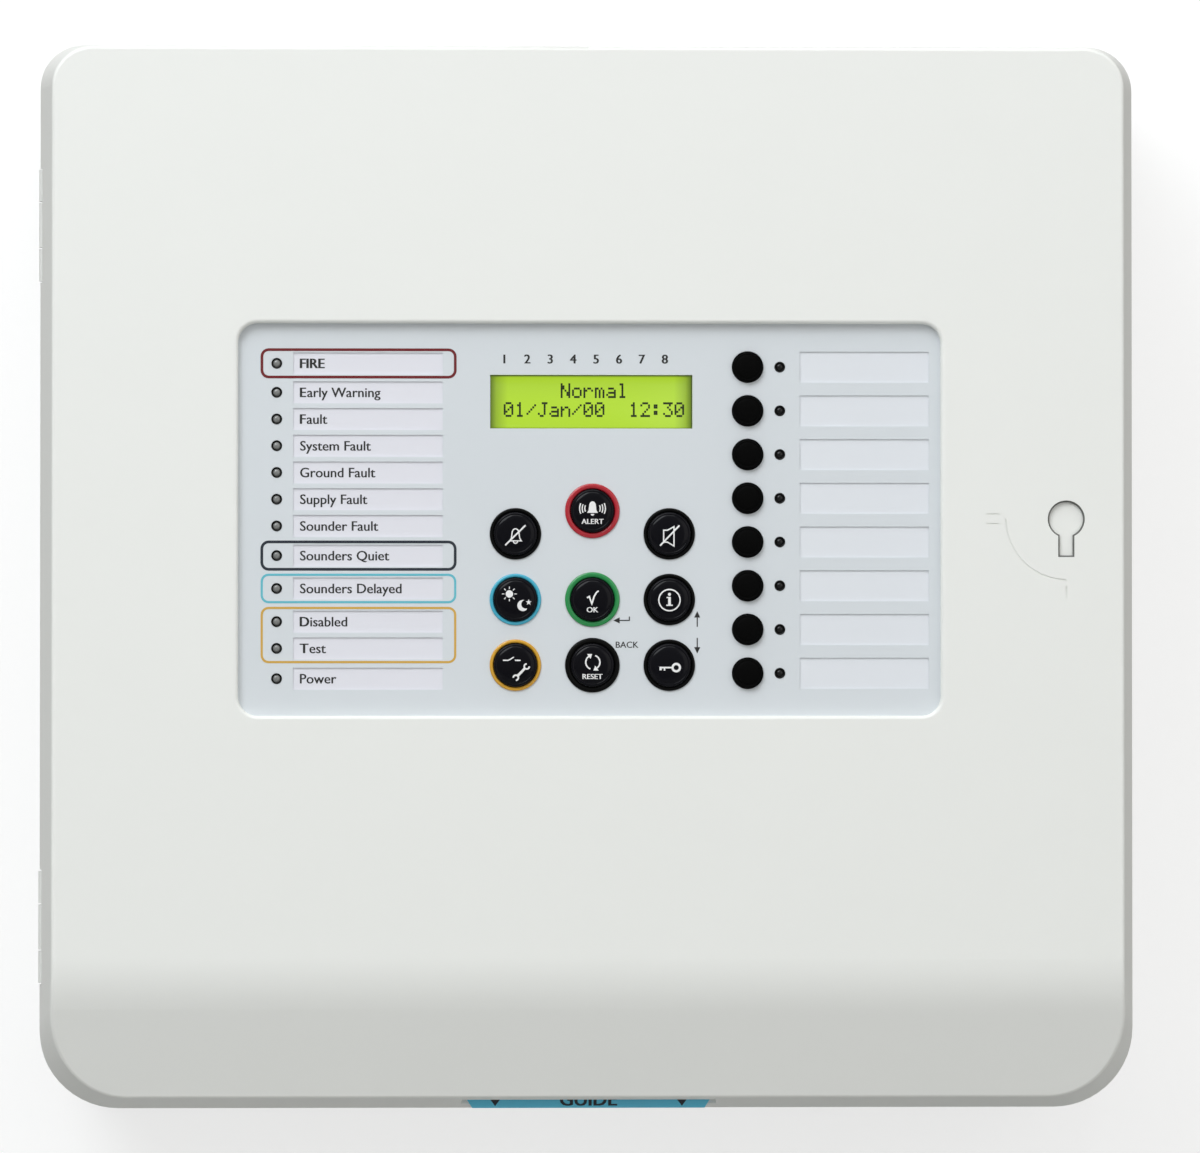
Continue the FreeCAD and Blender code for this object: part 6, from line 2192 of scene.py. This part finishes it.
@dataclass
class PowerSupply:
    """The power board with its transformer, cans and mains terminal block."""

    can_radius: float = 7.5
    can_height: float = 24.0
    core_height: float = 30.2
    diode_pitch: float = 5.0
    face: float = field(init=False)

    def build(self) -> None:
        """Dresses the board and the block, and adds the parts."""
        dress(BOARD, "power_board")
        dress(MAINS, "mains_terminal_block")
        self.face = island("power_board").depth[1]
        self.transformer()
        self.small_parts()
        self.mains()

    def transformer(self) -> None:
        """Replaces the transformer with its laminated core, windings and bobbin."""
        reach = island("power_transformer")
        x, z = reach.centre
        front = reach.depth[1]
        core = Former("transformer_core", CORE, ZINC, RELAY)
        span = (self.face + 1, front)
        rivet = [(0, front - 0.5), (1.9, front - 0.5), (1.9, front - 0.1), (0, front - 0.05)]
        for side in (-1, 1):
            core.pad(x + side * (reach.width / 2 - 4.6), z, 9.2, self.core_height, span, 0.3, 0.15)
            core.pad(x, z + side * 12.6, reach.width, 5.0, span, 0.3, 0.15)
            for end in (-1, 1):
                core.turned(Axis.DEPTH, (x + side * 20.6, z + end * 12.2), rivet, 1, 6)
        core.pad(x, z, 9.0, self.core_height, span, 0.3, 0.15)
        core.finish("housing", "transformer_core", "power_transformer")
        coil = Former("transformer_windings", COPPER, LAMP_TAPE, BLACK)
        back = self.face + 2
        top = front - 3
        for side in (-1, 1):
            coil.pad(x + side * 9.6, z, 9.4, 19.8, (back, top - 1), 1.5, 1.2)
            coil.pad(x, z + side * 18.0, 29.4, 5.8, (back + 0.6, top - 0.6), 2.6, 1.2)
            coil.pad(x, z + side * 18.0, 14.0, 6.4, (back + 0.4, top - 0.2), 2.6, 1.2, 1)
            coil.pad(x, z + side * 15.6, 29.8, 0.9, (back, top), 0.3, 0.2, 2)
            coil.pad(x, z + side * 20.6, 29.8, 0.8, (back, top), 0.3, 0.2, 2)
        coil.finish("housing", "transformer_core")

    def small_parts(self) -> None:
        """Adds cans, diodes, chips and marks to the power board."""
        board = BoardFace("power_board_parts", "housing", self.face,
                          finishes=(*BoardFace.finishes, SLEEVE))
        former = board.former
        for x, z in ((-66, 12), (-66, -6)):
            board.standing(x, z, self.can_radius, self.can_height, Paint.SLEEVE,
                           Paint.METAL)
            board.outline(x, z, 17, 17)
        former.pad(-66, 36, 14, 12, board.span(0, 14), 0.8, 0.5, Paint.WHITE)
        former.pad(-138, 30, 12, 22, board.span(0, 12), 0.8, 0.5, Paint.BLUE)
        diode = [(0.4, -128), (0.4, -124), (1.4, -124), (1.4, -118), (0.4, -118), (0.4, -114)]
        for number in range(4):
            z = -12 - number * self.diode_pitch
            former.turned(Axis.ACROSS, (self.face + 1.8, z), diode, Paint.CASE, 12)
            for x in (-127.6, -114.4):
                board.bump(x, z, 0.9, 1.8)
        board.chip(-98, -20, 8, 5, 4)
        board.passives(-106, -31, 8, (2.4, 0))
        board.outline(-102, 18, 52, 46)
        board.heat_sink(-74, -26)
        steps = [(0, 0), (6.2, 0), (6.4, 1), (6.4, 8), (5.6, 8.6), (3.0, 8.6), (2.8, 7.4), (0, 7.4)]
        choke = [(wide, board.depth(high)) for wide, high in steps]
        former.turned(Axis.DEPTH, (-138, -12), choke, Paint.CERAMIC, 32)
        board.finish()

    def mains(self) -> None:
        """Adds the screws in the mains block and the leads down to the board."""
        block = island("mains_terminal_block")
        x, z = block.centre
        third = block.width / 3
        screws = Former("mains_screws", TIN)
        slots = Former("mains_slots", TIN)
        seat = block.depth[1] - 4
        head = [(0, seat - 0.5), (2.35, seat - 0.5), (2.35, seat + 1.2), (2.0, seat + 1.6), (0, seat + 1.7)]
        for way in (-1, 0, 1):
            px = x + third * way
            screws.turned(Axis.DEPTH, (px, z), head, 0, 24)
            slots.band([(px - 2.6, z + 0.4 * way), (px + 2.6, z - 0.4 * way)], 0.7, (seat + 0.9, seat + 3))
        cut_out(screws, slots, "housing", "steel")
        leads = Former("mains_leads", LEAD_BLACK, VARISTOR, LAMP_TAPE)
        entry = block.depth[0] + 5
        over = self.face + 7
        foot = block.z[0]
        for way, paint in ((-1, 0), (0, 1), (1, 2)):
            px = x + third * way * 0.8
            corners = [(px, entry, foot + 1), (px, entry, foot - 4), (px, over, foot - 12),
                       (px, over, foot - 15), (px, self.face, foot - 15)]
            leads.tube(eased_path(corners, 2.4, 5), 1.3, paint, 12)
        leads.finish("housing", "lead_black")


@dataclass
class DisplayWorks:
    """The back of the display board, with its switches, sounder and solder joints."""

    switch_leg: Point = (3.25, 2.25)
    pin_pitch: float = 2.54
    driver_pitch: int = 26

    def build(self) -> None:
        """Dresses the board and adds the parts on its back."""
        dress(BOARD, "display_board")
        dress(BLACK, "tact_switches", "buzzer")
        back = island("display_board").depth[0]
        board = BoardFace("display_board_parts", "door", back, -1)
        for switch in islands("tact_switches"):
            x, z = switch.centre
            for u in (-1, 1):
                for v in (-1, 1):
                    board.bump(x + u * self.switch_leg[0], z + v * self.switch_leg[1])
        for lamp in islands("indicator_leds"):
            x, z = lamp.centre
            for side in (-0.9, 0.9):
                board.bump(x + side, z, 0.6, 0.5)
        for number in range(16):
            board.bump(-19.3 + number * self.pin_pitch, 72.5, 0.75, 0.9)
            aside = self.pin_pitch * (number % 2 * 2 - 1) / 2
            board.bump(-96 + aside, -3 + number // 2 * self.pin_pitch, 0.5, 0.2)
        for number in range(3):
            board.chip(-60 + number * self.driver_pitch, 38, 10, 4, 8)
            board.passives(-64 + number * self.driver_pitch, 30, 6, (2.2, 0))
        board.chip(-62, 4, 12, 12, 12, "TBLR")
        board.passives(-74, 12, 8, (0, -2.4), False)
        board.passives(70, 30, 8, (0, -2.6), False)
        board.chip(88, 26, 5, 8, 5, "LR")
        board.chip(88, 8, 10, 4, 8)
        board.outline(-62, 4, 17, 17)
        board.outline(85.7, 60, 14, 14)
        board.finish()


@dataclass
class Screws:
    """The board screws, pan-headed with a cross recess."""

    recess: float = 1.15
    groove: float = 0.62

    def build(self) -> None:
        """Makes both sets of screws."""
        self.make("board_screws", "housing", 1)
        self.make("display_screws", "door", -1)

    def make(self, node: str, body: str, out: int) -> None:
        """Makes the screws of one board.

        Args:
            node: The CAD node that they stand for.
            body: The body that they move with.
            out: 1 when their heads face out from the wall, or -1.
        """
        former = Former(f"{node}_cross_head", ZINC)
        cutter = Former(f"{node}_recess", ZINC)
        for number, screw in enumerate(islands(node)):
            x, z = screw.centre
            radius = screw.width / 2
            tip, top = screw.depth if out > 0 else screw.depth[::-1]
            seat = top - 2.0 * out
            profile = [(0, tip), (1.1, tip), (1.45, tip + 0.6 * out), (1.45, seat), (radius, seat),
                       (radius, seat + 0.9 * out), (radius * 0.88, seat + 1.5 * out),
                       (radius * 0.6, seat + 1.85 * out), (0, top)]
            former.turned(Axis.DEPTH, (x, z), profile, 0, 28)
            depths = sorted((top - 1.1 * out, top + 0.6 * out))
            cutter.slab(self.cross(x, z, 20 + number * 31), (depths[0], depths[1]))
        cut_out(former, cutter, body, "steel", node)

    def cross(self, x: float, z: float, turn: float) -> list[Point]:
        """A cross recess's outline around a screw's middle, turned by an angle in degrees.

        Args:
            x: The screw's middle across.
            z: The screw's height.
            turn: The angle.

        Returns:
            The outline.
        """
        half = self.groove / 2
        corner = math.hypot(half, half)
        points: list[Point] = []
        for arm in range(4):
            along = math.radians(turn + 90 * arm)
            u = math.cos(along)
            v = math.sin(along)
            points.append((x + u * self.recess + v * half, z + v * self.recess - u * half))
            points.append((x + u * self.recess - v * half, z + v * self.recess + u * half))
            inner = along + math.radians(45)
            points.append((x + math.cos(inner) * corner, z + math.sin(inner) * corner))
        return points


# ---------------------------------------------------------------- studio

@dataclass
class Studio:
    """The wall behind, the floor, the lights and the camera."""

    eye: Place = (-0.047, -2.1, -0.03)
    aim: Place = (0.0034, -0.100, -0.0005)
    lens: float = 193.5
    wall_gap: float = 0.0008
    floor_height: float = -0.45
    reach: float = 6.0
    wall_glow: float = 0.62
    floor_glow: float = 0.42
    room: float = 0.63

    def build(self) -> None:
        """Makes the whole studio."""
        self.wall()
        self.floor()
        self.light("Key", (-0.9, -1.5, 1.35), 1.1, 21.8, (0.93, 0.97, 1.0))
        self.light("Fill", (1.3, -1.7, 0.3), 1.6, 6.0, (1.0, 0.98, 0.95))
        self.light("Top", (0.0, -0.9, 1.5), 1.0, 7.5, (0.97, 0.99, 1.0))
        self.sky()
        self.camera()

    def plane(self, name: str, corners: Sequence[Place],
              surface: bpy.types.Material) -> None:
        """Makes one flat piece of the studio.

        Args:
            name: Its name.
            corners: Its corners, in metres.
            surface: Its material.
        """
        mesh = bpy.data.meshes.new(name)
        mesh.from_pydata(corners, [], [tuple(range(len(corners)))])
        mesh.materials.append(surface)
        piece = bpy.data.objects.new(name, mesh)
        bpy.context.scene.collection.objects.link(piece)

    def one_sided(self, finish: Finish, glow: float, camera_only: bool) -> bpy.types.Material:
        """A studio surface that the camera doesn't see from behind.

        Args:
            finish: Its finish.
            glow: How much light it gives off, which keeps a backdrop bright.
            camera_only: Whether only the camera sees it.

        Returns:
            The material.
        """
        surface = finish.build()
        tree = surface.node_tree
        shader = tree.nodes["Principled BSDF"]
        shader.inputs["Emission Color"].default_value = (1.0, 1.0, 1.0, 1.0)
        seen = tree.nodes.new("ShaderNodeLightPath").outputs["Is Camera Ray"]
        tree.links.new(add_math(tree, "MULTIPLY", seen, glow), shader.inputs["Emission Strength"])
        clear = tree.nodes.new("ShaderNodeBsdfTransparent")
        behind = tree.nodes.new("ShaderNodeNewGeometry").outputs["Backfacing"]
        show = add_math(tree, "SUBTRACT", 1.0, behind)
        if camera_only:
            show = add_math(tree, "MULTIPLY", show, seen)
        mix = tree.nodes.new("ShaderNodeMixShader")
        tree.links.new(show, mix.inputs[0])
        tree.links.new(clear.outputs[0], mix.inputs[1])
        tree.links.new(shader.outputs[0], mix.inputs[2])
        tree.links.new(mix.outputs[0], tree.nodes["Material Output"].inputs["Surface"])
        return surface

    def wall(self) -> None:
        """Makes the wall, which casts no light of its own on the box's back."""
        reach = self.reach
        y = self.wall_gap
        self.plane("studio_wall", [(-reach, y, self.floor_height), (reach, y, self.floor_height),
                                   (reach, y, reach), (-reach, y, reach)],
                   self.one_sided(WALL, self.wall_glow, True))

    def floor(self) -> None:
        """Makes the floor."""
        reach = self.reach
        z = self.floor_height
        self.plane("studio_floor", [(-reach, -reach, z), (reach, -reach, z), (reach, reach, z),
                                    (-reach, reach, z)], self.one_sided(FLOOR, self.floor_glow, False))

    def light(self, name: str, place: Place, size: float, power: float,
              tint: Colour) -> None:
        """Adds a soft square light that faces the panel.

        Args:
            name: Its name.
            place: Where it stands, in metres.
            size: Its width, in metres.
            power: Its power, in watts.
            tint: Its colour.
        """
        lamp = bpy.data.lights.new(name, "AREA")
        lamp.size = size
        lamp.energy = power
        lamp.color = tint
        holder = bpy.data.objects.new(name, lamp)
        holder.location = place
        holder.rotation_euler = (Vector(self.aim) - Vector(place)).to_track_quat("-Z", "Y").to_euler()
        bpy.context.scene.collection.objects.link(holder)

    def sky(self) -> None:
        """Gives the room an even pale light."""
        world = bpy.data.worlds.new("Room")
        world.use_nodes = True
        tree = world.node_tree
        split = tree.nodes.new("ShaderNodeSeparateXYZ")
        tree.links.new(tree.nodes.new("ShaderNodeTexCoord").outputs["Generated"], split.inputs[0])
        shade = add_ramp(tree, split.outputs["Z"], [(0.0, (0.62, 0.61, 0.59)), (0.5, (1.0, 1.0, 0.99))])
        tree.links.new(shade, tree.nodes["Background"].inputs["Color"])
        tree.nodes["Background"].inputs["Strength"].default_value = self.room
        bpy.context.scene.world = world
        bpy.context.scene.view_settings.view_transform = "Standard"

    def camera(self) -> None:
        """Sets up the camera."""
        view = bpy.data.cameras.new("Camera")
        view.lens = self.lens
        view.sensor_width = 36.0
        view.clip_start = 0.05
        view.clip_end = 50.0
        holder = bpy.data.objects.new("Camera", view)
        holder.location = self.eye
        holder.rotation_euler = (Vector(self.aim) - Vector(self.eye)).to_track_quat("-Z", "Y").to_euler()
        bpy.context.scene.collection.objects.link(holder)
        bpy.context.scene.camera = holder


def write_sizes() -> None:
    """Brings the scene's placements up to date."""
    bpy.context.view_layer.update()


def main() -> None:
    """Builds every part of the panel, in order."""
    logging.basicConfig(level=logging.INFO, format="%(name)s: %(message)s")
    for part in PARTS:
        part().build()
        LOG.info("%s: done", part.__name__)
    write_sizes()


PARTS = (Studio, Enclosure, Fascia, Lamps, Keys, CharacterDisplay, DisplayWorks, FlatCable,
         InformationCard, Batteries, MainBoard, PowerSupply, Screws)

if __name__ == "__main__":
    main()
